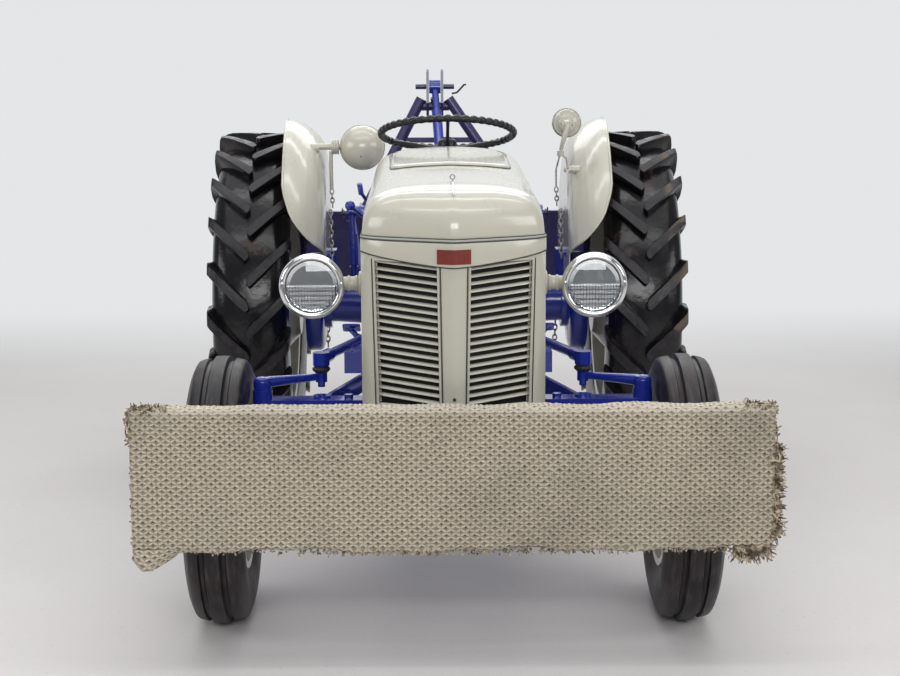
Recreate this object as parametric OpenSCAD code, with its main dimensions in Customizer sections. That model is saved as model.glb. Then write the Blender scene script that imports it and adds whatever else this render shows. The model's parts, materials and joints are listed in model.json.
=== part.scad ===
// Vintage farm tractor with a padded front push board and a raised rear blade on its three-point linkage.
// Millimetres. +Z up, +Y to the rear, +X to the tractor's left. The front axle is at y = 0 inside the modules,
// and place() shifts everything so that the origin is under the middle of the whole machine.

/* [Wheels and stance] */
// Front axle to rear axle
wheelbase = 1778; // [1750:1:1810]
// Front tyre centre to centre
front_track = 1240; // [1224:1:1300]
// Rear tyre centre to centre
rear_track = 1330; // [1320:1:1360]
// Front tyre radius, over its centre rib
front_tyre_r = 361; // [355:1:365]
// Front tyre section width
front_tyre_w = 158; // [150:1:162]
// Front rim bead seat radius
front_rim_r = 203; // [200:1:208]
// Rear tyre radius, over its lugs
rear_tyre_r = 610; // [600:1:616]
// Rear tyre section width
rear_tyre_w = 278; // [270:1:284]
// Rear rim bead seat radius
rear_rim_r = 356; // [350:1:362]
// Height of a rear tyre lug
lug_h = 32; // [24:1:38]
// Lugs on each side of a rear tyre
lug_count = 22; // [20:1:24]

/* [Bonnet and grille] */
// Bonnet width
bonnet_w = 472; // [460:1:476]
// Height of the seam between grille shell and bonnet
seam_z = 1072; // [1064:1:1080]
// Height of the bonnet's top behind the nose
nose_top_z = 1200; // [1190:1:1212]
// Height of the bonnet's top at its rear edge
bonnet_back_z = 1228; // [1216:1:1236]
// Height of the bonnet's lower side edge
skirt_z = 955; // [940:1:970]
// How far the nose stands in front of the axle
nose_y = 340; // [330:1:346]
// Depth of the V in plan, from the nose's middle to its corners
nose_v = 130; // [120:1:138]
// Distance of the bonnet's rear edge behind the axle
bonnet_end_y = 880; // [860:1:900]
// Lowest edge of the grille shell
grille_z = 620; // [610:1:640]
// Sheet thickness
sheet_t = 3; // [2.5:0.5:4]
// Louvres in each grille panel
louvre_count = 20; // [16:1:22]
// Grille window, from the middle bar to its outer edge
window_in = 40; // [36:1:44]
// Outer edge of a grille window
window_out = 202; // [194:1:206]

/* [Front axle and steering] */
// King pin distance from the centre line
king_x = 512; // [505:1:516]
// King pin radius
king_r = 17; // [15:1:19]
// Top of the axle beam
beam_z = 612; // [606:1:618]
// Axle beam depth
beam_h = 62; // [56:1:66]
// Steering arm eye, from the centre line
arm_eye_x = 359; // [352:1:366]
// Steering arm eye, behind the axle
arm_eye_y = 100; // [94:1:106]
// Drop arm eye, from the centre line
drop_x = 228; // [224:1:232]
// Drop arm shaft, behind the axle
drop_y = 930; // [920:1:940]
// Drop arm length between centres
drop_len = 225; // [218:1:230]
// Steering wheel diameter
steer_d = 457; // [440:1:460]
// Steering wheel centre height
steer_z = 1248; // [1240:1:1256]
// Steering wheel centre, behind the axle
steer_y = 1204; // [1196:1:1212]
// Backward lean of the steering wheel's plane, degrees
steer_tilt = 16; // [14:1:18]

/* [Mudguards and lamps] */
// Mudguard inner plate, from the centre line at its front
guard_x = 412; // [406:1:418]
// Outward turn of a mudguard towards the rear, degrees
guard_toe = 1.5; // [1:0.1:2]
// Mudguard crown's outer edge, from the centre line
guard_out_x = 552; // [545:1:558]
// Clearance between a rear tyre and its mudguard's crown
guard_gap = 50; // [44:1:58]
// Head lamp centre, from the centre line
lamp_x = 364; // [360:1:370]
// Head lamp centre height
lamp_z = 938; // [930:1:946]
// Head lamp rim radius
lamp_r = 85; // [80:1:90]

/* [Push board] */
// Length of the board across the tractor
board_w = 1600; // [1560:1:1616]
// Height of the board
board_h = 366; // [350:1:372]
// Bottom of the board above the ground
board_z = 318; // [310:1:330]
// Thickness of the board with its carpet
board_t = 58; // [56:1:62]
// Back face of the board in front of the axle
board_back_y = 430; // [424:1:440]

/* [Rear linkage and blade] */
// Lower link pins on the axle, from the centre line
link_front_x = 262; // [258:1:266]
// Lower link ball ends, from the centre line
link_back_x = 366; // [362:1:370]
// Lower hitch pins' height as parked, raised
hitch_z = 872; // [862:1:880]
// Lower hitch pins, behind the rear axle
hitch_y = 570; // [560:1:580]
// Upper hitch pin above the lower ones
mast_h = 490; // [480:1:500]
// Blade length across the tractor
blade_w = 1500; // [1460:1:1560]
// Blade height
blade_h = 380; // [370:1:400]

/* [Hidden] */
$fn = 64;
// Running clearance of a shaft in its bore, and the gap of a seated piece
run_gap = 0.05;
seat_gap = 0.3;
rear_y = wheelbase;
front_z = front_tyre_r;
rear_z = rear_tyre_r;
guard_r = rear_tyre_r + guard_gap;
board_front_y = -board_back_y - board_t;
blade_back_y = rear_y + hitch_y + 380;
mid_y = (board_front_y + blade_back_y) / 2;

grey = [0.80, 0.79, 0.72];
blue = [0.06, 0.09, 0.42];
black = [0.05, 0.05, 0.05];
steel = [0.62, 0.62, 0.62];
chrome = [0.85, 0.86, 0.88];
carpet = [0.62, 0.57, 0.47];

// Moves a piece from the front-axle frame to the frame of the whole machine
module place() translate([0, -mid_y, 0]) children();
// Both sides of the tractor
module both() { children(); mirror([1, 0, 0]) children(); }
// One side: s = 1 is the tractor's left, -1 its right
module side(s) if (s > 0) children(); else mirror([1, 0, 0]) children();
// A round bar from a to b, of radius r at a and r2 at b
module rod(a, b, r, r2 = undef) {
  v = b - a;
  len = norm(v);
  translate(a) rotate([0, acos(v[2] / len), atan2(v[1], v[0])])
    cylinder(h = len, r1 = r, r2 = r2 == undef ? r : r2);
}
// A flat bar from a to b, w thick across and h deep
module bar(a, b, w, h) {
  v = b - a;
  translate(a) rotate([0, 0, atan2(v[1], v[0])]) rotate([0, -atan2(v[2], norm([v[0], v[1]])), 0])
    translate([0, -w / 2, -h / 2]) cube([norm(v), w, h]);
}
// A box between two corners
module block(lo, hi) translate(lo) cube(hi - lo);
// A flat rounded plate in the XY plane, centred, with corner radius r
module rounded(size, r) offset(r) square([size[0] - 2 * r, size[1] - 2 * r], center = true);
// A cylinder along X, centred on c
module x_cyl(c, r, len) translate(c) rotate([0, 90, 0]) cylinder(h = len, r = r, center = true);
// A cylinder along Y, centred on c
module y_cyl(c, r, len) translate(c) rotate([90, 0, 0]) cylinder(h = len, r = r, center = true);

// A profile in (y, z), drawn across the tractor, w wide
module across(w) rotate([90, 0, 90]) linear_extrude(height = w, center = true) children();
// The same between x0 and x1
module across_at(x0, x1) translate([(x0 + x1) / 2, 0, 0]) across(x1 - x0) children();
// A profile in (x, z), drawn from y0 back to y1
module along(y0, y1) translate([0, y1, 0]) rotate([90, 0, 0]) linear_extrude(height = y1 - y0) children();
// A profile of [radius, x] turned about the X axis
module x_turn(profile) rotate([0, 90, 0]) rotate_extrude($fn = 96) polygon(profile);
// A profile of [radius, distance] turned about the Y axis, distance running to the front
module y_turn(profile) rotate([90, 0, 0]) rotate_extrude($fn = 72) polygon(profile);
// A rectangle from (x0, z0) to (x1, z1) with its corners cut by c
function cut_box(x0, z0, x1, z1, c) = [[x0 + c, z0], [x1 - c, z0], [x1, z0 + c], [x1, z1 - c],
  [x1 - c, z1], [x0 + c, z1], [x0, z1 - c], [x0, z0 + c]];

// Wheels. Each is drawn at the origin with its axle along +X, outwards, then set on its side.
module at_front(s) place() side(s) translate([front_track / 2, 0, front_z]) children();
module at_rear(s) place() side(s) translate([rear_track / 2, rear_y, rear_z]) children();
// A ring about X from half an outline: [radius, half width] from bead to tread
module x_ring(half) rotate([0, 90, 0]) rotate_extrude($fn = 96)
  polygon(concat(half, [for (i = [len(half) - 1:-1:0]) [half[i][0], -half[i][1]]]));

// Sidewall points on an arc between bead and shoulder: [radius, half width]
function sidewall(r0, w0, r1, w1, bulge, n) = [for (i = [0:n]) let (t = i / n)
  [r0 + (r1 - r0) * t, w0 + (w1 - w0) * t + bulge * sin(180 * t)]];

rib_w = 19;
rib_drop = 7;
groove = 15;
module front_tyre() {
  w = front_tyre_w / 2;
  shoulder_r = front_tyre_r - 28;
  side0 = front_rim_r + 15;
  color(black) difference() {
    x_ring(concat([[front_rim_r, w * 0.72], [side0, w * 0.72 + 3]],
      sidewall(side0 + 4, w * 0.82, shoulder_r, w * 0.86, w * 0.14, 8),
      [[front_tyre_r - rib_drop - 5, w * 0.80], [front_tyre_r - rib_drop, w * 0.46],
       [front_tyre_r - groove, w * 0.42], [front_tyre_r - groove, w * 0.30],
       [front_tyre_r, rib_w]]));
    x_ring(concat([[front_rim_r - 1, w * 0.42]],
      sidewall(front_rim_r + 14, w * 0.56, shoulder_r - 14, w * 0.7, w * 0.18, 6)));
  }
}

hub_r = 44;
module front_disc() {
  w = front_tyre_w / 2;
  lip = front_rim_r + 12;
  bead = w * 0.72;
  color(grey) difference() {
    union() {
      // Rim channel, its flanges outside the tyre's beads
      x_turn([
        [front_rim_r - 7, -bead - 8], [lip, -bead - 9], [lip, -bead - 4 - seat_gap],
        [front_rim_r - seat_gap, -bead - 2 - seat_gap], [front_rim_r - seat_gap, -34],
        [front_rim_r - 30, -18], [front_rim_r - 30, 18], [front_rim_r - seat_gap, 34],
        [front_rim_r - seat_gap, bead + 2 + seat_gap], [lip, bead + 4 + seat_gap], [lip, bead + 9],
        [front_rim_r - 7, bead + 8], [front_rim_r - 7, 38], [front_rim_r - 37, 21],
        [front_rim_r - 37, -21], [front_rim_r - 7, -38]]);
      // Dished disc
      x_turn([
        [20, 6], [hub_r + 14, 6], [110, 26], [front_rim_r - 36, 6],
        [front_rim_r - 36, -2], [108, 18], [hub_r + 10, -2], [hub_r, -2], [hub_r, -30], [20, -30]]);
      // Hub with its cap
      x_turn([[0, -30], [hub_r - 6, -30], [hub_r, -24], [hub_r, 30], [hub_r - 8, 38], [32, 40],
        [30, 54], [22, 60], [0, 62]]);
      for (i = [0:5]) rotate([60 * i, 0, 0]) x_cyl([10, 0, 74], 9, 20);
    }
    x_cyl([-10, 0, 0], 20 + run_gap, 60);
  }
}

// Rear tyre: carcass and chevron lugs. Each bar runs back from the middle, and the tread's outline rounds its shoulder.
carcass_r = rear_tyre_r - lug_h;
lug_lead = 136;
lug_half = 25;
lug_phase = 2;
module rear_lug() {
  out = rear_tyre_w / 2 + 2;
  translate([0, 0, carcass_r - 84]) linear_extrude(height = 84 + lug_h + 6)
    polygon([[-4, -lug_half], [10, -lug_half + 10], [out, lug_lead - lug_half + 6], [out, lug_lead + lug_half - 6],
      [0, lug_half - 2], [-4, lug_half - 12]]);
}
module rear_tyre() {
  w = rear_tyre_w / 2;
  color(black) union() {
    x_ring(concat([[rear_rim_r, 98], [rear_rim_r + 20, 101]],
      sidewall(rear_rim_r + 26, 110, carcass_r - 42, w * 0.87, 13, 4),
      [[carcass_r - 12, w * 0.72], [carcass_r, w * 0.3]]));
    intersection() {
      x_ring([[carcass_r - 84, w - 10], [carcass_r - 62, w], [carcass_r - 8, w - 1], [rear_tyre_r - 5, w - 11],
        [rear_tyre_r, w - 32]]);
      for (i = [0:lug_count - 1], s = [0, 1])
        rotate([lug_phase + (i + s / 2) * 360 / lug_count, 0, 0]) mirror([s, 0, 0]) rear_lug();
    }
  }
}

rear_hub_r = 92;
module rear_disc() {
  lip = rear_rim_r + 18;
  bead = 98;
  color(grey) difference() {
    union() {
      x_turn([
        [rear_rim_r - 9, -bead - 9], [lip, -bead - 11], [lip, -bead - 6 - seat_gap],
        [rear_rim_r - seat_gap, -bead - 3 - seat_gap], [rear_rim_r - seat_gap, -60],
        [rear_rim_r - 34, -32], [rear_rim_r - 34, 32], [rear_rim_r - seat_gap, 60],
        [rear_rim_r - seat_gap, bead + 3 + seat_gap], [lip, bead + 6 + seat_gap], [lip, bead + 11],
        [rear_rim_r - 9, bead + 9], [rear_rim_r - 9, 66], [rear_rim_r - 43, 36],
        [rear_rim_r - 43, -36], [rear_rim_r - 9, -66]]);
      // Dished disc, its middle set in towards the axle
      x_turn([
        [30, -128], [rear_hub_r + 20, -128], [190, -60], [250, -16], [rear_rim_r - 41, -14],
        [rear_rim_r - 41, -23], [253, -24], [194, -69], [rear_hub_r + 24, -138], [30, -138]]);
      x_turn([[0, -138], [58, -138], [58, -92], [50, -78], [0, -74]]);
      for (i = [0:7]) rotate([45 * i + 22.5, 0, 0]) x_cyl([-122, 0, 78], 11, 24);
      // Lugs that clamp the disc to the rim
      for (i = [0:5]) rotate([60 * i + 30, 0, 0]) block([-40, -34, 292], [-12, 34, rear_rim_r - 38]);
    }
    x_cyl([-120, 0, 0], 30 + run_gap, 60);
    for (i = [0:5]) rotate([60 * i, 0, 0]) x_cyl([-20, 0, 268], 20, 60);
  }
}

// Steered knuckle: king pin, stub axle and steering arm
boss_lo = beam_z - 84;
boss_hi = beam_z + 22;
boss_r = king_r + 9;
arm_z = boss_hi + 20;
module knuckle() color(blue) union() {
  // King pin, its thrust collar under the boss and its cap above
  translate([king_x, 0, front_z - 24]) cylinder(h = arm_z - front_z + 24, r = king_r);
  translate([king_x, 0, front_z - 30]) cylinder(h = boss_lo - front_z + 30 - seat_gap, r = king_r + 9);
  translate([king_x, 0, boss_hi + seat_gap]) rotate_extrude() polygon([[0, 0], [23, 0], [24, 8], [24, 22],
    [20, 31], [12, 35], [0, 36]]);
  // Stub axle
  rod([king_x, 0, front_z], [front_track / 2 + 18, 0, front_z], 20);
  rod([king_x, 0, front_z], [front_track / 2 - 30 - seat_gap, 0, front_z], 30);
  // Steering arm and its eye, with the ball stud's nut below
  rod([king_x, 0, arm_z], [arm_eye_x, arm_eye_y, arm_z - 4], 16, 9);
  translate([arm_eye_x, arm_eye_y, arm_z - 18]) cylinder(h = 25, r = 16);
  translate([arm_eye_x, arm_eye_y, arm_z - 32]) cylinder(h = 16, r = 10, $fn = 6);
}

// Front axle beam with its two sliding ends, king pin bosses and radius rod lugs
beam_d = 66;
lug_x = 353;
pivot_z = beam_z - 40;
module front_axle() color(blue) {
  lo = beam_z - beam_h;
  y0 = -beam_d / 2 - 8;
  y1 = beam_d / 2 - 8;
  difference() {
    union() {
      // Centre beam: a channel, open to the front, with the pivot's boss
      difference() {
        block([-300, y0, lo - 4], [300, y1, beam_z - 14]);
        both() block([70, y0 - 1, lo + 5], [301, y1 - 14, beam_z - 23]);
      }
      y_cyl([0, -8, pivot_z], 34, beam_d);
      both() {
        // Sliding ends lie on the beam and run out to the king pins, deeper towards the middle
        block([150, y0, beam_z - 14], [king_x - 20, y1, beam_z]);
        along(-24, 24) polygon([[300, lo - 4], [lug_x, lo - 8], [king_x, lo + 4], [king_x, beam_z - 2], [300, beam_z - 2]]);
        translate([king_x, 0, boss_lo]) cylinder(h = boss_hi - boss_lo, r = boss_r);
        for (x = [180, 230, 280]) translate([x, -8, beam_z - 1]) cylinder(h = 11, r = 12, $fn = 6);
        // Boss that carries the radius rod
        translate([lug_x, 10, lo - 14]) cylinder(h = beam_h + 18, r = 24);
      }
    }
    both() translate([king_x, 0, boss_lo - 1]) cylinder(h = boss_hi - boss_lo + 2, r = king_r + run_gap);
    y_cyl([0, -8, pivot_z], 18 + run_gap, 100);
  }
}

// Radius rods: flat bars on edge from the axle lugs to the gearbox
rod_back = [147, 1120, 520];
rod_h = 52;
module radius_rods() color(blue) both() {
  a = [lug_x - 6, 34 + seat_gap, beam_z - 30];
  v = rod_back - a;
  yaw = atan2(v[1], v[0]);
  pitch = atan2(v[2], norm([v[0], v[1]]));
  l = norm(v);
  h = rod_h / 2;
  translate(a) rotate([0, 0, yaw]) rotate([0, -pitch, 0]) union() {
    rotate([90, 0, 0]) linear_extrude(height = 12, center = true)
      polygon([[0, -h * 0.6], [60, -h], [l - 160, -h], [l - 40, -h * 0.5], [l - 40, h * 0.5], [l - 160, h], [60, h], [0, h * 0.6]]);
    rod([l - 60, 0, 0], [l - 10, 0, 0], 13);
  }
  // Ball end in its socket on the gearbox
  translate([150 - 8, 0, 0] + [0, rod_back[1], rod_back[2]]) x_cyl([8, 0, 0], 22, 18 - 2 * seat_gap);
}

tilt_y = -270;
tilt_z = 632;
tilt_r = 7;
support_top = 640;
support_w = 190;
// Front support casting under the radiator; the axle hangs on its pivot pin
module front_support() color(blue) {
  union() {
    across(support_w) polygon([[-190, support_top], [-190, 592], [-110, 566], [-84, 524], [-70, 516],
      [-46, 516], [-46, beam_z + 4], [30, beam_z + 4], [30, 516], [56, 516], [90, 500], [150, 436],
      [engine_y0 - seat_gap, 432], [engine_y0 - seat_gap, support_top]]);
    translate([0, 0, support_top - 18]) linear_extrude(height = 18)
      polygon(cut_box(-135, -196, 135, engine_y0 - seat_gap, 22));
    along(engine_y0 - 26, engine_y0 - seat_gap) polygon(cut_box(-122, 432, 122, support_top, 14));
    y_cyl([0, -8, pivot_z], 18, 150);
    both() {
      block([100, tilt_y - 11, tilt_z - 12], [112, -180, tilt_z + 8]);
      x_cyl([110, tilt_y, tilt_z], tilt_r, 20);
    }
  }
}

engine_y0 = 190;
engine_y1 = 800;
block_x = 105;
module engine_block() color(blue) union() {
  // Crankcase and cylinder block
  along(engine_y0, engine_y1) polygon([[-125, 442], [-125, 522], [-block_x, 548], [-block_x, 850],
    [block_x, 850], [block_x, 548], [125, 522], [125, 442]]);
  // Sump, deeper towards the rear
  across(176) polygon([[engine_y0 + 10, 443], [engine_y0 + 30, 390], [430, 350], [engine_y1 - 60, 330],
    [engine_y1 - 20, 360], [engine_y1 - 10, 443]]);
  // Cylinder head and rocker cover
  along(engine_y0 + 25, engine_y1 - 20) polygon(cut_box(-92, 849, 92, 935, 5));
  along(engine_y0 + 45, engine_y1 - 45) polygon([[-66, 934], [-66, 962], [-58, 978], [-40, 988], [40, 988],
    [58, 978], [66, 962], [66, 934]]);
  // Water pump
  y_cyl([0, engine_y0 - 14, 800], 44, 30);
  // Core plugs
  for (y = [290, 430, 570, 700]) x_cyl([0, y, 730], 20, 2 * block_x + 6);
}

fan_z = 800;
fan_y = 128;
// Separate fittings, each seated on the block: [name] in the comments
module engine_fittings() color(blue) {
  seat = block_x + seat_gap;
  // Fan, its pulley seated on the water pump
  union() {
    y_cyl([0, (fan_y + engine_y0 - 29) / 2, fan_z], 22, engine_y0 - 29 - fan_y - 2 * seat_gap);
    y_cyl([0, fan_y + 14, fan_z], 46, 18);
    y_cyl([0, fan_y, fan_z], 34, 12);
    for (i = [0:3]) translate([0, fan_y, fan_z]) rotate([0, 90 * i + 45, 0]) rotate([28, 0, 0])
      translate([20, -2, -30]) cube([160, 4, 60]);
  }
  // Dynamo on the right with its bracket
  union() {
    y_cyl([-seat - 62, 350, 700], 50, 190);
    y_cyl([-seat - 62, 246, 700], 34, 22);
    y_cyl([-seat - 62, 350, 700], 53, 120);
    block([-seat - 34, 280, 636], [-seat, 420, 672]);
  }
  // Starter, low on the right
  union() {
    y_cyl([-125 - seat_gap - 38, 650, 492], 38, 210);
    y_cyl([-125 - seat_gap - 38, 540, 492], 26, 30);
  }
  // Oil filter and distributor on the left
  union() {
    translate([seat + 46, 330, 560]) cylinder(h = 150, r = 44);
    translate([seat + 46, 330, 704]) cylinder(h = 14, r = 45.5);
    block([seat, 306, 640], [seat + 30, 354, 690]);
  }
  union() {
    x_cyl([seat + 11, 470, 646], 14, 22);
    rod([seat + 12, 470, 648], [seat + 60, 470, 720], 12);
    rod([seat + 52, 470, 709], [seat + 96, 470, 768], 34, 40);
    rod([seat + 94, 470, 765], [seat + 112, 470, 789], 38, 26);
  }
}

module radiator() color(black) union() {
  block([-200, -16, 680], [200, 56, 1030]);
  along(-28, 68) polygon(cut_box(-212, 1022, 212, 1086, 12));
  along(-28, 68) polygon(cut_box(-212, support_top + seat_gap, 212, 690, 8));
  translate([0, 20, 1080]) cylinder(h = 34, r = 30);
  both() block([200, -10, 680], [210, 50, 1030]);
}

module fuel_tank() color(grey) {
  union() {
    along(bonnet_end_y - 420, bonnet_end_y - 20) polygon(cut_box(-190, 1004, 190, 1150, 40));
    for (y = [500, 700]) block([-38, y, 988 + seat_gap], [38, y + 30, 1006]);
  }
}

module exhaust() color([0.2, 0.2, 0.2]) union() {
  // Manifold along the block, down pipe, silencer and tail pipe
  block([block_x + seat_gap, 400, 786], [150, 720, 842]);
  for (y = [430, 560, 690]) x_cyl([126, y, 814], 34, 2 * (126 - block_x - seat_gap));
  rod([140, 660, 812], [176, 668, 760], 19);
  translate([176, 668, 760]) sphere(r = 21);
  rod([176, 668, 760], [176, 700, 425], 20);
  translate([176, 700, 425]) sphere(r = 21);
  rod([176, 700, 425], [195, 915, 335], 19);
  translate([195, 1460, 335]) y_turn([[0, 0], [30, 0], [45, 14], [45, 546], [30, 560], [0, 560]]);
  y_cyl([195, 1530, 335], 20, 160);
}

pto_r = 14.3;
bell_y = 1000;
gear_y = 1440;
axle_in = 165;
// Clutch housing, gearbox and centre housing in one line
module transmission() color(blue) {
  union() {
    hull() {
      along(engine_y1 + seat_gap, engine_y1 + 24) polygon(cut_box(-168, 392, 168, 842, 50));
      along(bell_y - 10, bell_y) polygon(cut_box(-126, 410, 126, 772, 34));
    }
    along(bell_y - 12, bell_y + 14) polygon(cut_box(-138, 398, 138, 780, 30));
    along(bell_y, gear_y) polygon(cut_box(-126, 410, 126, 760, 22));
    along(gear_y - 14, gear_y + 12) polygon(cut_box(-140, 398, 140, 772, 26));
    hull() {
      along(gear_y, gear_y + 10) polygon(cut_box(-126, 410, 126, 760, 22));
      along(rear_y - 140, rear_y - 130) polygon(cut_box(-axle_in, 400, axle_in, 760, 40));
    }
    along(rear_y - 134, rear_y + 180) polygon(cut_box(-axle_in, 400, axle_in, 760, 40));
    along(rear_y + 178, rear_y + 200) polygon(cut_box(-132, 440, 132, 730, 40));
    // Power take-off: its housing and the bare shaft
    y_cyl([0, rear_y + 206, 560], 46, 24);
    y_cyl([0, rear_y + 250, 560], pto_r, 90);
    // Bosses of the pedal shaft
    both() x_cyl([130, 1080, 470], 30, 30);
  }
}

// Rear axle: a tapered trumpet each side with its flanges, and the brake drum's back
module rear_axle() color(blue) {
  both() union() {
    translate([0, rear_y, rear_z]) x_turn([[0, axle_in + seat_gap], [138, axle_in + seat_gap], [138, 184],
      [112, 190], [84, 262], [74, 392], [74, 412], [96, 414], [96, 432], [150, 438], [172, 446], [178, 456],
      [178, 492], [172, 502], [110, 506], [60, 510], [56, 525], [30, 525], [30, 568], [0, 568]]);
    // Bracket that carries the mudguard
    translate([0, 0, rear_z + 60]) linear_extrude(height = 130) polygon([[396, rear_y - 40],
      [guard_at(rear_y - 40) - seat_gap, rear_y - 40], [guard_at(rear_y + 40) - seat_gap, rear_y + 40], [396, rear_y + 40]]);
    // Lower link's pin on its bracket under the housing
    block([axle_in + seat_gap, link_foot[1] - 26, link_foot[2] - 26], [link_front_x - 15 - seat_gap, link_foot[1] + 26, link_foot[2] + 30]);
    block([axle_in + seat_gap, link_foot[1] - 20, link_foot[2] + 20], [200, rear_y - 40, 560]);
    x_cyl([link_front_x - 20, link_foot[1], link_foot[2]], 14, 76);
  }
}

// Hydraulic lift cover with its cross shaft and the top link's rocker
shaft_y = rear_y + 110;
shaft_z = 830;
top_foot = [0, rear_y + 190, 870];
cover_top = 850;
module lift_cover() color(blue) union() {
  along(1500, 1640) polygon(cut_box(-118, 760 + seat_gap, 118, cover_top - 20, 16));
  along(1620, rear_y + 152) polygon(cut_box(-128, 760 + seat_gap, 128, cover_top, 26));
  translate([0, shaft_y, shaft_z]) both() x_turn([[0, 0], [46, 0], [46, 60], [58, 120], [58, 134], [40, 140],
    [34, 193 - seat_gap], [18, 193 - seat_gap], [18, 236], [12, 240], [0, 240]]);
  both() across_at(16, 34) polygon([[rear_y + 150, 772], [rear_y + 206, 800], [rear_y + 214, 880],
    [rear_y + 200, 895], [rear_y + 176, 895], [rear_y + 150, 852], [rear_y + 130, 848]]);
  x_cyl(top_foot, 10, 80);
  // Seat spring's pad
  translate([0, 1560, cover_top - 22]) cylinder(h = 22, r = 46);
}

// Steering box on the clutch housing, with its cross shafts and the column
drop_z = 850;
box_y0 = 842;
box_top = 955;
// Sloping top of the clutch housing, and the box's seat on it
function bell_top(y) = 842 - 70 * (y - engine_y1 - 24) / (bell_y - engine_y1 - 24) + 1.2 * seat_gap;
wheel_c = [0, steer_y, steer_z];
column_dir = [0, sin(steer_tilt), cos(steer_tilt)];
column_top = wheel_c - 62 * column_dir;
module steering_box() color(blue) union() {
  across(150) polygon([[box_y0, bell_top(box_y0)], [box_y0, 900], [box_y0 + 34, box_top], [1090, box_top], [1110, 930],
    [1060, 860], [1020, 781], [985, 781], [975, bell_top(975)]]);
  both() translate([0, drop_y, drop_z]) x_turn([[0, 60], [44, 60], [44, 90], [38, 112], [30, 190],
    [34, 196], [34, drop_x - 11 - seat_gap], [13, drop_x - 11 - seat_gap], [13, drop_x + 12], [0, drop_x + 12]]);
  rod(column_top - 300 * column_dir, column_top, 27, 22);
  rod(column_top - 70 * column_dir, column_top - 30 * column_dir, 30, 26);
  // Shaft in the wheel's hub
  rod(column_top - 5 * column_dir, column_top + 30 * column_dir, 11);
}

// Arched dash behind the bonnet, hollowed for the column's side
module dash_panel() color(grey) along(bonnet_end_y + 14, bonnet_end_y + 26) difference() {
  polygon(concat([for (j = [0:2 * arch_n]) let (q = arch(j / (2 * arch_n)))
    [q[0] * (bonnet_w / 2 - 8), seam_z + q[1] * (bonnet_back_z - 8 - seam_z)]],
    [[-bonnet_w / 2 + 8, box_top + seat_gap], [bonnet_w / 2 - 8, box_top + seat_gap]]));
  translate([-95, 1120]) circle(r = 28);
  translate([95, 1120]) circle(r = 28);
}

// Pressed pan seat: a shell between two sheets of points, [across, along] from -1 to 1
seat_y = 1640;
seat_z = 930;
seat_n = 10;
function seat_xy(u, v) = let (w = 225 * (v < 0 ? 0.86 + 0.14 * (1 + v) : 1), b = v > 0 ? 175 : 190)
  [w * u * sqrt(1 - v * v / 2), b * v * sqrt(1 - u * u / 2)];
function seat_h(u, v) = let (q = seat_xy(u, v), e = pow(max(abs(u), abs(v)), 3))
  (v > 0 ? 150 * pow(v, 2.2) : 14 * v * v) + 34 * e * abs(u) - 14 * cos(180 * u) * (1 - v * v) * (0.7 - 0.3 * v);
function seat_sheet(t) = [for (i = [0:seat_n], j = [0:seat_n]) let (u = 2 * i / seat_n - 1, v = 2 * j / seat_n - 1,
    q = seat_xy(u, v)) [q[0], seat_y + q[1], seat_z + 22 + seat_h(u, v) + t]];
module seat_pan() color(grey) {
  n = seat_n + 1;
  o = n * n;
  rim = concat([for (j = [0:n - 2]) [j, j + 1]], [for (i = [0:n - 2]) [i * n + n - 1, (i + 1) * n + n - 1]],
    [for (j = [n - 1:-1:1]) [(n - 1) * n + j, (n - 1) * n + j - 1]], [for (i = [n - 1:-1:1]) [i * n, (i - 1) * n]]);
  polyhedron(points = concat(seat_sheet(4), seat_sheet(0)), convexity = 6, faces = concat(
    [for (i = [0:n - 2], j = [0:n - 2]) each [[i * n + j, (i + 1) * n + j + 1, (i + 1) * n + j], [i * n + j, i * n + j + 1, (i + 1) * n + j + 1]]],
    [for (i = [0:n - 2], j = [0:n - 2]) each [[o + i * n + j, o + (i + 1) * n + j, o + (i + 1) * n + j + 1], [o + i * n + j, o + (i + 1) * n + j + 1, o + i * n + j + 1]]],
    [for (e = rim) each [[e[0], o + e[0], o + e[1]], [e[0], o + e[1], e[1]]]]));
}
module seat_spring() color(blue) union() {
  across(60) polygon([[1522, cover_top + seat_gap], [1598, cover_top + seat_gap], [1602, cover_top + 12], [1560, cover_top + 14],
    [1530, 880], [1560, 905], [1690, 908], [1690, 918], [1556, 916], [1516, 884], [1516, cover_top + 12]]);
  translate([0, seat_y, 908]) cylinder(h = seat_z + 22 - 908 - 9.8 - seat_gap, r = 40);
}

// Mudguard: crown turned about the rear axle, inner plate and a rounded front corner.
// guard_roll columns: distance from the inner plate, drop below the crown
guard_roll = [[0.7, 150], [4, 118], [14, 84], [28, 62], [44, 46], [64, 30], [88, 15], [112, 4]];
// guard_cut columns: distance in from the outer edge, height above the tip's line
guard_cut = [[0, 214], [9, 160], [24, 108], [48, 62], [82, 24], [122, 4]];
guard_tip = 26;
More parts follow.
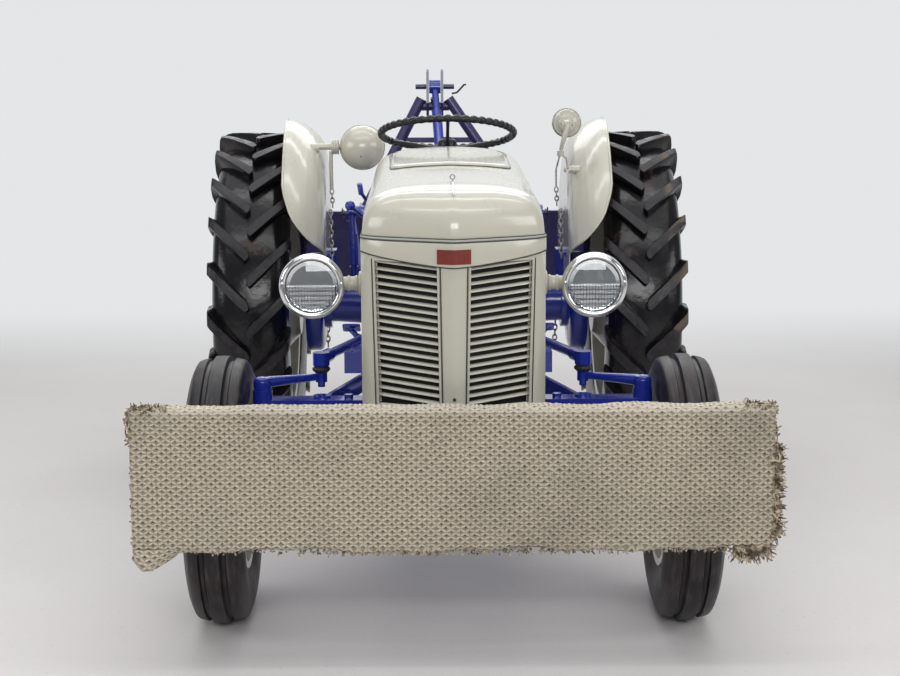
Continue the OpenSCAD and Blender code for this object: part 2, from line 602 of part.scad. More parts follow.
// Distance of the toed inner plate from the centre line, at y
function guard_at(y) = guard_x + (y - rear_y + 430) * tan(guard_toe);
module mudguard() translate([guard_x, rear_y - 430, 0]) rotate([0, 0, -guard_toe])
  translate([0, 430, rear_z]) union() {
  w = guard_out_x - guard_x;
  t = sheet_t;
  difference() {
    rotate([0, 90, 0]) rotate([0, 0, 115]) rotate_extrude(angle = 132, $fn = 120) polygon(concat(
      [[guard_r - 160, 0.6]], [for (q = guard_roll) [guard_r - q[1], q[0]]],
      [[guard_r, w - 14], [guard_r, w], [guard_r - t, w], [guard_r - t, w - 14]],
      [for (k = [len(guard_roll) - 1:-1:1]) let (q = guard_roll[k]) [guard_r - q[1] - t * 1.2, q[0] + t]],
      [[guard_r - 150, 3.9], [guard_r - 160, 2.4]]));
    rotate([-guard_tip, 0, 0]) rotate([90, 0, 0]) linear_extrude(height = 800)
      polygon(concat([[w + 30, -60], [0 - 1, -60], [-1, 0], [w - 131, 0]],
        [for (k = [len(guard_cut) - 1:-1:0]) [w - guard_cut[k][0], guard_cut[k][1]]], [[w + 1, 300], [w + 30, 300]]));
  }
  rotate([90, 0, 90]) linear_extrude(height = t) difference() {
    intersection() {
      circle(r = guard_r - 148, $fn = 120);
      polygon([[-guard_r / 2, 96], [guard_r / 2, 96], [guard_r * cos(25), guard_r * sin(25)], [400, 700], [-400, 700],
        [-guard_r * cos(guard_tip), guard_r * sin(guard_tip)]]);
    }
    circle(r = 120);
  }
}

// Rear lamps, on a pad of each mudguard: one on a stalk, one on a ribbed neck. Their backs are to the front.
pad_left = [426, 1440, 1110];
pad_right = [-440, 1560, 1180];
module mudguards() color(grey) {
  union() {
    mudguard();
    x_cyl(pad_left + [16, 0, 0], 13, 32);
  }
  union() {
    side(-1) mudguard();
    x_cyl(pad_right - [15, 0, 0], 14, 30);
  }
}
module work_lamps() color(grey) {
  union() {
    translate([410, 1450, 1268]) rotate([0, 0, 180]) y_turn([[0, 46], [10, 46], [12, 40], [30, 36], [46, 22],
      [54, 4], [57, 0], [57, -6], [50, -8], [0, -8]]);
    rod([410, 1440, 1228], [410, 1440, 1106], 7);
    rod([410, 1440, 1110], pad_left - [seat_gap, 0, 0], 9);
  }
  union() {
    translate([-292, 1560, 1180]) y_turn([[0, 62], [16, 60], [40, 50], [60, 30], [72, 6], [76, -14], [79, -18],
      [79, -28], [70, -32], [0, -30]]);
    rod([-350, 1560, 1180], pad_right + [seat_gap, 0, 0], 9);
    for (i = [0:4]) x_cyl([-366 - 13 * i, 1560, 1180], 15, 7);
  }
}

// Foot plates with a turned-down front edge and ribs
plate_z = 530;
module foot_plates() color(blue) both() union() {
  block([170, 1160, plate_z - 5], [345, 1400, plate_z]);
  block([170, 1154, plate_z - 70], [345, 1160, plate_z]);
  for (x = [200, 240, 280, 320]) block([x - 4, 1170, plate_z - 1], [x + 4, 1390, plate_z + 4]);
  across_at(170, 178) polygon([[1160, plate_z], [1400, plate_z], [1360, 460], [1200, 460]]);
  x_cyl([(126 + 176) / 2 + seat_gap / 2, 1220, 490], 15, 50 - seat_gap);
  x_cyl([(126 + 176) / 2 + seat_gap / 2, 1350, 490], 15, 50 - seat_gap);
}

// A lever's knob of radius r about c
module knob(c, r) translate(c) rotate_extrude($fn = 40)
  polygon([[0, -r], [0.66 * r, -0.8 * r], [0.98 * r, -0.25 * r], [r, 0.2 * r], [0.72 * r, 0.78 * r], [0, r]]);
// Pedals, gear lever, throttle and lift levers
module controls() color(blue) {
  both() union() {
    rod([145 + seat_gap, 1080, 470], [262, 1080, 470], 12);
    x_cyl([250, 1080, 470], 20, 24);
    rod([250, 1080, 478], [300, 1120, 596], 9);
    rod([300, 1120, 590], [318, 1112, 612], 9);
    translate([318, 1118, 616]) rotate([-24, 0, 0]) linear_extrude(height = 7) rounded([58, 76], 12);
  }
  union() {
    translate([0, 1200, 760 + seat_gap]) cylinder(h = 24, r1 = 34, r2 = 20);
    knob([0, 1200, 790], 16);
    rod([0, 1200, 790], [-30, 1290, 960], 8);
    knob([-30, 1290, 964], 21);
  }
  union() {
    x_cyl([-140 + 2, 1640, 800], 22, 19);
    rod([-143, 1640, 800], [-324, 1262, 1007], 6);
    knob([-324, 1262, 1007], 17);
  }
  union() {
    x_cyl([-118 - seat_gap - 14, 1560, 800], 18, 28);
    rod([-143, 1560, 800], [-286, 1256, 1050], 6);
    rod([-286, 1256, 1046], [-291, 1246, 1082], 9);
  }
}

// Push arms from the front support to the board, with a cross tube and two pads
arm_x = support_w / 2 + seat_gap;
module push_frame() color(blue) union() {
  both() {
    across_at(arm_x, arm_x + 12) polygon([[-board_back_y, 470], [-board_back_y + 60, 470], [60, 452], [140, 452],
      [140, 496], [60, 512], [-board_back_y + 60, 540], [-board_back_y, 540]]);
    block([arm_x - 20, -board_back_y, 400], [arm_x + 70, -board_back_y + 10, 610]);
    across_at(arm_x + 12, arm_x + 60) polygon([[-board_back_y + 9, 500], [-board_back_y + 60, 500], [-board_back_y + 9, 580]]);
  }
  x_cyl([0, -board_back_y + 90, 504], 17, 2 * arm_x + 2);
}
plank_t = 36;
carpet_t = 12;
module push_plank() color([0.45, 0.33, 0.2])
  block([-board_w / 2 + 14, -board_back_y - seat_gap - plank_t, board_z + carpet_t + seat_gap],
    [board_w / 2 - 14, -board_back_y - seat_gap, board_z + board_h - carpet_t - seat_gap]);
// Carpet laid over the plank's front and folded over its top and bottom edges
module board_carpet() color(carpet) across(board_w) difference() {
  translate([board_front_y, board_z]) polygon(cut_rect(board_t - 8, board_h, 9));
  translate([-board_back_y - 2 * seat_gap - plank_t, board_z + carpet_t]) square([plank_t + 20, board_h - 2 * carpet_t]);
}
// A rectangle from the origin with its corners cut by c
function cut_rect(w, h, c) = cut_box(0, 0, w, h, c);

// Bonnet: an arched shell. Columns of each station: place around the arch, from one lower edge to the other.
arch_n = 9;
arch_e = 0.62;
function arch(u) = let (a = 180 * u, c = cos(a), s = sin(a))
  [sign(c) * pow(abs(c), arch_e), pow(abs(s), arch_e)];
function front_plan(x) = let (k = min(1, abs(x) / (bonnet_w / 2)))
  -nose_y + (nose_v - 30) * pow(k, 1.1) + 30 * pow(k, 12);
nose_end_y = -110;
shell_step_y = -50;
function top_z(y) = nose_top_z + (bonnet_back_z - nose_top_z) * (y - nose_end_y) / (bonnet_end_y - nose_end_y);
// One ring of bonnet points, inset by t: nose rings have v below 1, the rest are at y
function nose_ring(v, t) = [for (j = [0:2 * arch_n]) let (p = arch(j / (2 * arch_n)),
    x = p[0] * (bonnet_w / 2 - t), z1 = seam_z + p[1] * (nose_top_z - t - seam_z))
  [x, nose_end_y - (nose_end_y - front_plan(x) - t) * pow(cos(90 * v), 0.7), seam_z + (z1 - seam_z) * pow(sin(90 * v), 0.7)]];
function body_ring(y, low, t) = let (half = bonnet_w / 2 - t)
  concat([[half, y, low]], [for (j = [0:2 * arch_n]) let (p = arch(j / (2 * arch_n)))
    [p[0] * half, y, seam_z + p[1] * (top_z(y) - t - seam_z)]], [[-half, y, low]]);
function with_skirt(ring, low) = concat([[ring[0][0], ring[0][1], low]], ring,
  [[ring[len(ring) - 1][0], ring[len(ring) - 1][1], low]]);
function bonnet_rings(t) = concat(
  [for (v = [0, 0.12, 0.28, 0.45, 0.62, 0.78, 0.91]) with_skirt(nose_ring(v, t), seam_z - 3)],
  [body_ring(nose_end_y, seam_z - 3, t), body_ring(shell_step_y - 3, seam_z - 3, t)],
  [for (y = [shell_step_y, 200, 420, 640, bonnet_end_y]) body_ring(y, skirt_z, t)]);
// Faces of a closed skin between an outer and an inner set of rings, m rings of n points each
function skin_faces(m, n) = let (o = m * n) concat(
  [for (i = [0:m - 2], j = [0:n - 2]) [i * n + j, i * n + j + 1, (i + 1) * n + j + 1, (i + 1) * n + j]],
  [for (i = [0:m - 2], j = [0:n - 2]) [o + (i + 1) * n + j, o + (i + 1) * n + j + 1, o + i * n + j + 1, o + i * n + j]],
  [for (j = [0:n - 2]) [o + j, o + j + 1, j + 1, j]],
  [for (j = [0:n - 2]) [(m - 1) * n + j, (m - 1) * n + j + 1, o + (m - 1) * n + j + 1, o + (m - 1) * n + j]],
  [for (i = [0:m - 2]) [o + i * n, i * n, (i + 1) * n, o + (i + 1) * n]],
  [for (i = [0:m - 2]) [i * n + n - 1, o + i * n + n - 1, o + (i + 1) * n + n - 1, (i + 1) * n + n - 1]]);
module bonnet_top() color(grey) {
  outer = bonnet_rings(0);
  inner = bonnet_rings(sheet_t);
  m = len(outer);
  n = len(outer[0]);
  polyhedron(points = concat([for (r = outer) each r], [for (r = inner) each r]), faces = skin_faces(m, n), convexity = 6);
}

// Grille shell: a bent sheet in plan, with two windows
function shell_plan(t) = let (w = bonnet_w / 2 - t) concat(
  [for (i = [0:10]) let (x = -w + 2 * w * i / 10) [x, front_plan(x * bonnet_w / 2 / w) + t]],
  [[w, shell_step_y - 6], [-w, shell_step_y - 6]]);
window_z0 = 648;
window_z1 = 1014;
module grille_shell() color(grey) union() {
  difference() {
    translate([0, 0, grille_z]) linear_extrude(height = seam_z - 3 - seat_gap - grille_z) difference() {
      polygon(shell_plan(0));
      polygon(concat([for (p = shell_plan(sheet_t)) p[1] > shell_step_y - 20 ? [p[0], 50] : p]));
    }
    both() block([window_in, -nose_y - 20, window_z0], [window_out, -nose_y + nose_v + 60, window_z1]);
  }
  // Ears on the tilting pins
  both() difference() {
    block([113, front_plan(118) + 1, tilt_z - 10], [118, tilt_y + 12, tilt_z + 12]);
    x_cyl([115, tilt_y, tilt_z], tilt_r + run_gap, 20);
  }
  // Badge place on the middle bar, bare
  along(-nose_y - 5, -nose_y + 8) polygon(cut_box(-40, seam_z - 66, 40, seam_z - 24, 12));
}

// Louvre panels: slats across each window, held by two uprights, behind the shell
module grille_louvres() color(grey) both() {
  a = [window_in - 2, front_plan(window_in) + 12];
  b = [window_out - 2, front_plan(window_out - 2) + 12];
  len = norm(b - a);
  pitch = (window_z1 - window_z0) / louvre_count;
  translate([a[0], a[1], 0]) rotate([0, 0, atan2(b[1] - a[1], b[0] - a[0])]) union() {
    for (x = [-3, len - 6]) block([x, x < 0 ? -7.4 : -1.5, window_z0 + 4], [x + 6, 14, window_z1 - 4]);
    for (i = [0:louvre_count - 1]) translate([0, 0, window_z0 + pitch * (i + 0.5)])
      rotate([34, 0, 0]) translate([0, -3, -1]) cube([len, 15, 2]);
  }
}

lamp_y = -170;
module head_lamps() color(chrome) both() union() {
  translate([lamp_x, lamp_y, lamp_z]) y_turn([[0, -90], [30, -86], [60, -60], [lamp_r - 8, -12], [lamp_r - 3, -10],
    [lamp_r, 0], [lamp_r - 4, 12], [lamp_r - 16, 16], [lamp_r - 22, 14], [30, 20], [0, 21]]);
  x_cyl([lamp_x - 58, lamp_y + 52, lamp_z], 17, 34);
}
module lamp_brackets() color(grey) both() union() {
  rod([bonnet_w / 2 + seat_gap, lamp_y + 52, lamp_z], [lamp_x - 75 - seat_gap, lamp_y + 52, lamp_z], 22, 15);
  x_cyl([bonnet_w / 2 + seat_gap + 5, lamp_y + 52, lamp_z], 30, 10);
}

// Drop arm: hangs from the steering box's cross shaft
module drop_arm() color(blue) difference() {
  union() {
    x_cyl([drop_x, drop_y, drop_z], 27, 22);
    block([drop_x - 8, drop_y - 15, drop_z - drop_len], [drop_x + 8, drop_y + 15, drop_z]);
    x_cyl([drop_x, drop_y, drop_z - drop_len], 20, 22);
  }
  x_cyl([drop_x, drop_y, drop_z], 13 + run_gap, 40);
}

// Drag link: from the steering arm's ball, on its boot, to beside the drop arm's eye
module drag_link() color(blue) {
  a = [arm_eye_x, arm_eye_y, arm_z + 46];
  b = [drop_x + 28, drop_y, drop_z - drop_len];
  union() {
    rod(a, b, 14);
    rod(a + 40 * (b - a) / norm(b - a), a + 120 * (b - a) / norm(b - a), 19);
    translate(a - [0, 0, 18]) cylinder(h = 36, r = 23);
    translate(a - [0, 0, 39 - seat_gap]) cylinder(h = 24, r1 = 11, r2 = 19);
    x_cyl(b + [(seat_gap - 1) / 2, 0, 0], 20, 33 - seat_gap);
  }
}

module steering_wheel() color(black) translate(wheel_c) rotate([-steer_tilt, 0, 0]) difference() {
  union() {
    rotate_extrude($fn = 96) translate([steer_d / 2 - 12, 0]) circle(r = 12, $fn = 20);
    translate([0, 0, -62 + seat_gap]) cylinder(h = 34, r1 = 26, r2 = 31);
    translate([0, 0, -30]) cylinder(h = 10, r1 = 24, r2 = 17);
    for (i = [0:2]) rotate([0, 0, 120 * i - 90]) rod([20, 0, -44], [steer_d / 2 - 13, 0, -2], 7);
  }
  translate([0, 0, -70]) cylinder(h = 39, r = 11 + run_gap);
}

// Three-point linkage, as parked with the blade raised
link_foot = [link_front_x, rear_y - 80, 415];
hitch = [link_back_x, rear_y + hitch_y, hitch_z];
lift_end = [322, rear_y + 322, 905];
rod_foot = link_foot + (hitch - link_foot) * 0.45;
mast_x = -36;
mast_top = [mast_x, rear_y + hitch_y + 30, hitch_z + mast_h];
module lower_links() color(blue) both() difference() {
  union() {
    bar(link_foot, hitch, 18, 44);
    x_cyl(link_foot, 32, 30);
    x_cyl(hitch, 33, 34);
    x_cyl(rod_foot + [9.8, 0, 0], 15, 19.8);
  }
  x_cyl(link_foot, 14 + run_gap, 60);
  x_cyl(hitch, 11 + run_gap, 60);
}
lift_shaft = [215, shaft_y, shaft_z];
module lift_arms() color(blue) both() difference() {
  union() {
    x_cyl(lift_shaft, 40, 44);
    rod(lift_shaft, lift_end, 22, 15);
    x_cyl(lift_end, 21, 36);
  }
  x_cyl(lift_shaft, 18 + run_gap, 60);
}
// Lift rods, each with its threaded sleeve and two eyes
module lift_rods() color(blue) both() {
  a = lift_end + [30 + seat_gap, 0, 0];
  b = rod_foot + [32, 0, 0];
  union() {
    rod(a, b, 11);
    rod(a + (b - a) * 0.3, a + (b - a) * 0.7, 17);
    x_cyl(a, 21, 24);
    x_cyl(b, 21, 24);
  }
}
module top_link() color(blue) difference() {
  v = (mast_top - top_foot) / norm(mast_top - top_foot);
  union() {
    rod(top_foot, mast_top, 13);
    rod(top_foot + 120 * v, mast_top - 120 * v, 19);
    x_cyl(top_foot, 24, 31);
    x_cyl(mast_top, 27, 44);
  }
  x_cyl(top_foot, 10 + run_gap, 60);
}

// Blade's frame: two mast plates, two legs, the bar with the hitch pins, a boom and its turntable
frame_top = 845;
hitch_yy = rear_y + hitch_y;
blade_y = hitch_yy + 340;
module blade_frame() color([0.1, 0.08, 0.3]) union() {
  for (s = [-1, 1]) {
    across_at(mast_x + s * 28 - 5, mast_x + s * 28 + 5) polygon([[hitch_yy - 4, 1300], [hitch_yy + 8, 1420],
      [hitch_yy + 22, 1428], [hitch_yy + 42, 1428], [hitch_yy + 56, 1415], [hitch_yy + 64, 1300], [hitch_yy + 20, 1240]]);
    rod([mast_x + s * 52, hitch_yy + 26, 1316], [s * 318, hitch_yy + 10, hitch_z], 21);
    // Pin plate, pin and its stop
    block([s * 326 - 8, hitch_yy - 34, 790], [s * 326 + 8, hitch_yy + 92, 906]);
    x_cyl([s * 364, hitch_yy, hitch_z], 11, 84);
    x_cyl([s * 396, hitch_yy, hitch_z], 16, 6);
  }
  for (s = [-1, 1]) x_cyl(mast_top + [s * 49, 0, 0], 10, 52);
  x_cyl([mast_x, hitch_yy + 30, 1286], 17, 110);
  block([mast_x - 146, hitch_yy + 12, 1146], [mast_x + 146, hitch_yy + 24, 1166]);
  // Cross bar, boom, back stay and turntable
  block([-334, hitch_yy + 30, frame_top - 80], [334, hitch_yy + 90, frame_top]);
  block([-45, hitch_yy + 60, frame_top - 80], [45, hitch_yy + 300, frame_top - 4]);
  rod([mast_x, hitch_yy + 40, 1318], [0, hitch_yy + 230, frame_top - 6], 17);
  translate([0, hitch_yy + 236, frame_top - 100]) cylinder(h = 24, r = 92);
}
blade_dip = 32;
blade_n = 10;
blade_z = frame_top - blade_h;
// A point of the curved board at t from its lower edge, set back by d
function blade_point(t, d) = [blade_y + blade_dip * (1 - pow(2 * t - 1, 2)) + d, blade_z + blade_h * t];
module blade() color([0.1, 0.08, 0.3]) union() {
  across(blade_w) polygon(concat([for (i = [0:blade_n]) blade_point(i / blade_n, 0)],
    [for (i = [blade_n:-1:0]) blade_point(i / blade_n, 8)]));
  // Cutting edge, top rail and the two gussets under the turntable
  block([-blade_w / 2, blade_y - 8, blade_z - 10], [blade_w / 2, blade_y + 3, blade_z + 76]);
  block([-blade_w / 2, blade_y + 6, frame_top - 8], [blade_w / 2, blade_back_y, frame_top]);
  translate([0, hitch_yy + 236, frame_top - 120]) cylinder(h = 20 - seat_gap, r = 92);
  for (x = [-56, 44]) block([x, hitch_yy + 180, 600], [x + 12, blade_y + 33, frame_top - 118]);
}

place() front_support();
place() front_axle();
place() radius_rods();
place() engine_block();
place() engine_fittings();
place() radiator();
place() fuel_tank();
place() exhaust();
place() transmission();
place() rear_axle();
place() lift_cover();
place() steering_box();
place() dash_panel();
place() seat_pan();
place() seat_spring();
place() mudguards();
place() work_lamps();
place() foot_plates();
place() controls();
place() push_frame();
place() push_plank();
place() board_carpet();
place() bonnet_top();
place() grille_shell();
place() grille_louvres();
place() head_lamps();
place() lamp_brackets();
at_front(1) front_tyre();  // front_tyre_left
at_front(-1) front_tyre();  // front_tyre_right
at_front(1) front_disc();  // front_disc_left
at_front(-1) front_disc();  // front_disc_right
at_rear(1) rear_tyre();  // rear_tyre_left
at_rear(-1) rear_tyre();  // rear_tyre_right
at_rear(1) rear_disc();  // rear_disc_left
at_rear(-1) rear_disc();  // rear_disc_right
place() knuckle();  // knuckle_left
place() side(-1) knuckle();  // knuckle_right
place() drop_arm();  // drop_arm_left
place() side(-1) drop_arm();  // drop_arm_right
place() drag_link();  // drag_link_left
place() side(-1) drag_link();  // drag_link_right
place() steering_wheel();
place() lower_links();
place() lift_arms();
place() lift_rods();
place() top_link();
place() blade_frame();
place() blade();
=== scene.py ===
"""Looks for the vintage tractor: smooth sheet metal, tyres, lamps, grille, carpet, chains, paint and studio.

Lengths are metres. Shapes are worked out in the front-axle frame: x to the tractor's left, y to the rear
from the front axle, z up from the ground. piece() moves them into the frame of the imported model.
"""
import json
import math

import bmesh
import bpy
import numpy as np
from mathutils import Matrix, Vector


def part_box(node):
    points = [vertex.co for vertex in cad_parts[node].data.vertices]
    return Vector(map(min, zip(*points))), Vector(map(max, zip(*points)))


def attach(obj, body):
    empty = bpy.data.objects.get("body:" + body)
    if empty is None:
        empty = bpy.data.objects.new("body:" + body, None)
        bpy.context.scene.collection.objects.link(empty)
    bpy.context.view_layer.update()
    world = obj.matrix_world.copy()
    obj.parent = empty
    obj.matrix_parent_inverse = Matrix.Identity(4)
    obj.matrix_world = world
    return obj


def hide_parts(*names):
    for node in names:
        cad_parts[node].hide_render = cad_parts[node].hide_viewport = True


bl_info = {
    "name": "Vintage tractor looks",
    "version": (1, 0, 0),
    "blender": (4, 5, 0),
    "location": "View3D > Sidebar > Tractor",
    "description": "Builds the paint, sheet metal, tyres, lamps and carpet around the packed tractor",
    "category": "Object",
}

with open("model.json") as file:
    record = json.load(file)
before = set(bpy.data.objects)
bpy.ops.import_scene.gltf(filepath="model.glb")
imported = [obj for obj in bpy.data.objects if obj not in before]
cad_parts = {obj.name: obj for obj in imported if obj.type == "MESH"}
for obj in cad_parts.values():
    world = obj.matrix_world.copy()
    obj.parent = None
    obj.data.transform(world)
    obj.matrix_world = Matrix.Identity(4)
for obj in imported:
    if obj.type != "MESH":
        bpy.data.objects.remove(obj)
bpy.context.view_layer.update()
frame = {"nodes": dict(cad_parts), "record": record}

# Driving places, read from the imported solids
TYRE_LO, TYRE_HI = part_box("front_tyre_left")
AXLE_Y = (TYRE_LO.y + TYRE_HI.y) / 2
REAR_LO, REAR_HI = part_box("rear_tyre_left")
REAR_Y = (REAR_LO.y + REAR_HI.y) / 2 - AXLE_Y
REAR_R = REAR_HI.z / 2
FRONT_R = TYRE_HI.z / 2
FRONT_X = (TYRE_LO.x + TYRE_HI.x) / 2
REAR_X = (REAR_LO.x + REAR_HI.x) / 2
# Radius of the smallest ring at the end of a turned shape
POLE = 0.0002


# Sizes and colours a user would change

def length(name, value, text):
    """A length property, in metres."""
    return bpy.props.FloatProperty(name=name, description=text, default=value, unit="LENGTH", precision=4)


def colour(name, value, text):
    """A colour property: linear red, green and blue."""
    return bpy.props.FloatVectorProperty(name=name, description=text, default=value, size=3, min=0, max=1,
                                         subtype="COLOR_GAMMA")


class TractorBody(bpy.types.PropertyGroup):
    """Sizes of the sheet metal, in the front-axle frame"""
    hood_w: length("Bonnet width", 0.472, "Over the bonnet's sides")
    seam_z: length("Seam height", 1.072, "Seam between grille shell and bonnet")
    nose_top: length("Nose top", 1.200, "Top of the bonnet behind the nose")
    hood_back: length("Bonnet rear top", 1.228, "Top of the bonnet at its rear edge")
    skirt_z: length("Skirt", 0.955, "Lower side edge of the bonnet")
    nose_y: length("Nose", 0.340, "How far the nose stands in front of the axle")
    nose_v: length("Depth of the V", 0.130, "From the nose's middle to its corners, in plan")
    nose_end: length("Nose end", -0.110, "Where the nose's curve meets the straight bonnet")
    step_y: length("Skirt step", -0.050, "Front end of the bonnet's side skirts")
    hood_end: length("Bonnet rear edge", 0.880, "Behind the axle")
    grille_z: length("Shell bottom", 0.620, "Lowest edge of the grille shell")
    window_lo: length("Window bottom", 0.648, "Lower edge of the grille windows")
    window_hi: length("Window top", 1.014, "Upper edge of the grille windows")
    window_in: length("Window inner edge", 0.040, "From the centre line")
    window_out: length("Window outer edge", 0.202, "From the centre line")
    sheet: length("Sheet thickness", 0.003, "Of the pressed panels")
    slat_step: length("Slat pitch", 0.01903, "From one slat to the next")
    flap_y: length("Flap place", 0.530, "Middle of the filler flap behind the axle")
    flap_w: length("Flap half width", 0.172, "From the centre line")
    flap_l: length("Flap half length", 0.222, "From its middle")
    slats: bpy.props.IntProperty(name="Slats", description="In each grille window", default=19, min=8, max=30)
    guard_r: length("Mudguard radius", 0.660, "Crown, about the rear axle")
    guard_x: length("Mudguard inner plate", 0.412, "From the centre line, at its front")
    guard_w: length("Mudguard width", 0.140, "Inner plate to outer edge")
    guard_toe: bpy.props.FloatProperty(name="Mudguard toe", description="Outward turn to the rear",
                                       default=math.radians(1.5), subtype="ANGLE")


class TractorParts(bpy.types.PropertyGroup):
    """Sizes of lamps, tyres, wheel and carpet"""
    lamp_x: length("Head lamp", 0.364, "From the centre line")
    lamp_y: length("Head lamp place", -0.170, "Behind the axle")
    lamp_z: length("Head lamp height", 0.938, "Centre above the ground")
    lamp_r: length("Head lamp rim radius", 0.085, "Outside of the chrome rim")
    lugs: bpy.props.IntProperty(name="Lugs", description="On each side of a rear tyre", default=22, min=12,
                                max=30)
    flute_w: length("Flute width", 0.0078, "Of the head lamp glass")
    flute_h: length("Flute height", 0.0125, "Of the head lamp glass")
    loop_w: length("Loop pitch across", 0.012, "Of the carpet's pile")
    loop_h: length("Row pitch", 0.0096, "Between two rows of the carpet's loops")
    wheel_r: length("Steering wheel radius", 0.2165, "To the middle of its rim")
    wheel_y: length("Steering wheel place", 1.204, "Behind the axle")
    wheel_z: length("Steering wheel height", 1.248, "Middle of its rim above the ground")


class TractorColours(bpy.types.PropertyGroup):
    """Colours, linear"""
    cream: colour("Cream", (0.520, 0.505, 0.420), "Sheet metal enamel")
    blue: colour("Blue", (0.010, 0.026, 0.300), "Castings and linkage enamel")
    navy: colour("Navy", (0.028, 0.022, 0.100), "Older paint of the blade and its frame")
    rubber: colour("Rubber", (0.0056, 0.0047, 0.0062), "Tyres")
    yarn: colour("Yarn", (0.62, 0.540, 0.415), "Carpet pile")
    badge: colour("Badge", (0.13, 0.018, 0.012), "Bare badge on the nose")


def body():
    return bpy.context.scene.tractor_body


def parts():
    return bpy.context.scene.tractor_parts


def tint():
    return bpy.context.scene.tractor_colours


# Meshes from arrays

def grid(m, n, around=False, flip=False, loop=False):
    """Quads of an m by n grid of points, rows first.

    around joins the last column to the first one, and loop the last row to the first.
    """
    i, j = np.meshgrid(np.arange(m if loop else m - 1), np.arange(n if around else n - 1), indexing="ij")
    i2, j2 = (i + 1) % m, (j + 1) % n
    quads = np.stack([i * n + j, i * n + j2, i2 * n + j2, i2 * n + j], -1).reshape(-1, 4)
    return quads[:, ::-1] if flip else quads


def bar(m, n):
    """Faces of m rings of n points each, with both end rings closed."""
    return [*grid(m, n, around=True).tolist(), list(range(n))[::-1], list(range((m - 1) * n, m * n))]


def rim_of(m, n):
    """Indices round the edge of an m by n grid of points, in order."""
    i, j = np.arange(m - 1), np.arange(n - 1)
    return np.concatenate([i * n, (m - 1) * n + j, (m - 1 - i) * n + n - 1, n - 1 - j])


def slab(m, n):
    """Faces of two m by n grids, one behind the other, with a wall between their edges."""
    quads, ring = grid(m, n), rim_of(m, n)
    wall = np.stack([ring, np.roll(ring, -1), np.roll(ring, -1) + m * n, ring + m * n], -1)
    return np.concatenate([quads, quads[:, ::-1] + m * n, wall]).tolist()


def turned_in(points, faces):
    """True where the signed volume of a closed shape is negative, so that its faces point in."""
    q = np.asarray(points, float).reshape(-1, 3)
    total = 0.0
    for f in faces:
        c, e = q[f[1:-1]], q[f[2:]]
        total += np.einsum("ij,ij->", np.cross(c, e), np.broadcast_to(q[f[0]], c.shape))
    return total < 0


class Build:
    """Collects points, faces and the material number of each face, to become one mesh."""

    def __init__(self):
        self.points, self.faces, self.kinds, self.count = [], [], [], 0

    def add(self, points, faces, kind=0):
        """Adds points and faces as they are; kind is one material number, or a list of one for each face."""
        points = np.asarray(points, float).reshape(-1, 3)
        faces = faces.tolist() if isinstance(faces, np.ndarray) else faces
        self.points.append(points)
        self.faces += [[v + self.count for v in f] for f in faces]
        self.kinds += kind if isinstance(kind, list) else [kind] * len(faces)
        self.count += len(points)
        return self

    def solid(self, points, faces, kind=0):
        """Adds a closed shape with its faces turned outwards."""
        faces = faces.tolist() if isinstance(faces, np.ndarray) else faces
        return self.add(points, [f[::-1] for f in faces] if turned_in(points, faces) else faces, kind)

    def mirrored(self):
        """The same shape on the other side: x changes sign and each face is turned round."""
        other = Build()
        points = np.concatenate(self.points) * [-1, 1, 1]
        other.points, other.count = [points], self.count
        other.faces, other.kinds = [f[::-1] for f in self.faces], list(self.kinds)
        return other

    def both(self):
        """This shape and its mirror image in one."""
        other = self.mirrored()
        self.points += other.points
        self.faces += [[v + self.count for v in f] for f in other.faces]
        self.kinds += other.kinds
        self.count *= 2
        return self


def piece(name, shape, materials, rides, replaces=(), smooth=35):
    """Makes the object of a Build, in the model's frame, with smooth shading up to an angle in degrees."""
    mesh = bpy.data.meshes.new(name)
    points = np.concatenate(shape.points) + [0, AXLE_Y, 0]
    mesh.from_pydata(points.tolist(), [], shape.faces)
    mesh.update()
    for m in materials:
        mesh.materials.append(m)
    mesh.polygons.foreach_set("material_index", np.array(shape.kinds, np.int32))
    mesh.polygons.foreach_set("use_smooth", np.full(len(mesh.polygons), smooth > 0))
    if smooth:
        mesh.set_sharp_from_angle(angle=math.radians(smooth))
    mesh.validate()
    made = bpy.data.objects.new(name, mesh)
    bpy.context.scene.collection.objects.link(made)
    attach(made, rides)
    if replaces:
        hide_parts(*replaces)
    return made


def drop_loose(mesh):
    """Deletes the points of a mesh that no face uses."""
    b = bmesh.new()
    b.from_mesh(mesh)
    bmesh.ops.delete(b, geom=[q for q in b.verts if not q.link_faces], context="VERTS")
    b.to_mesh(mesh)
    b.free()


def face_up(mesh, face):
    """Turns all faces of a sheet round where one that should look up looks down."""
    if face.normal.z < 0:
        mesh.flip_normals()


def modifier(made, kind, **settings):
    """Adds a modifier whose name is its kind in small letters."""
    m = made.modifiers.new(kind.lower(), kind)
    for key, value in settings.items():
        setattr(m, key, value)
    return m


def turn(axis, angle):
    """A rotation matrix about an axis, by an angle in radians."""
    return np.array(Matrix.Rotation(angle, 3, axis))


def frame_of(direction):
    """Two unit vectors across a direction, the second one level where it can be."""
    d = np.asarray(direction, float)
    d = d / np.linalg.norm(d)
    side = np.cross(d, [0, 0, 1.0] if abs(d[2]) < 0.9 else [0, 1.0, 0])
    side /= np.linalg.norm(side)
    return d, np.cross(side, d), side


def lathe(profile, centre, direction, seg=64):
    """A closed turned shape: profile columns are radius and distance along the direction.

    Each profile point goes round the axis, and the first and the last ring are closed.
    """
    p = np.asarray(profile, float)
    d, u, v = frame_of(direction)
    a = np.linspace(0, 2 * np.pi, seg, endpoint=False)
    ring = np.cos(a)[:, None] * u + np.sin(a)[:, None] * v
    points = centre + p[:, None, 1, None] * d + p[:, None, 0, None] * ring
    return Build().solid(points, bar(len(p), seg))


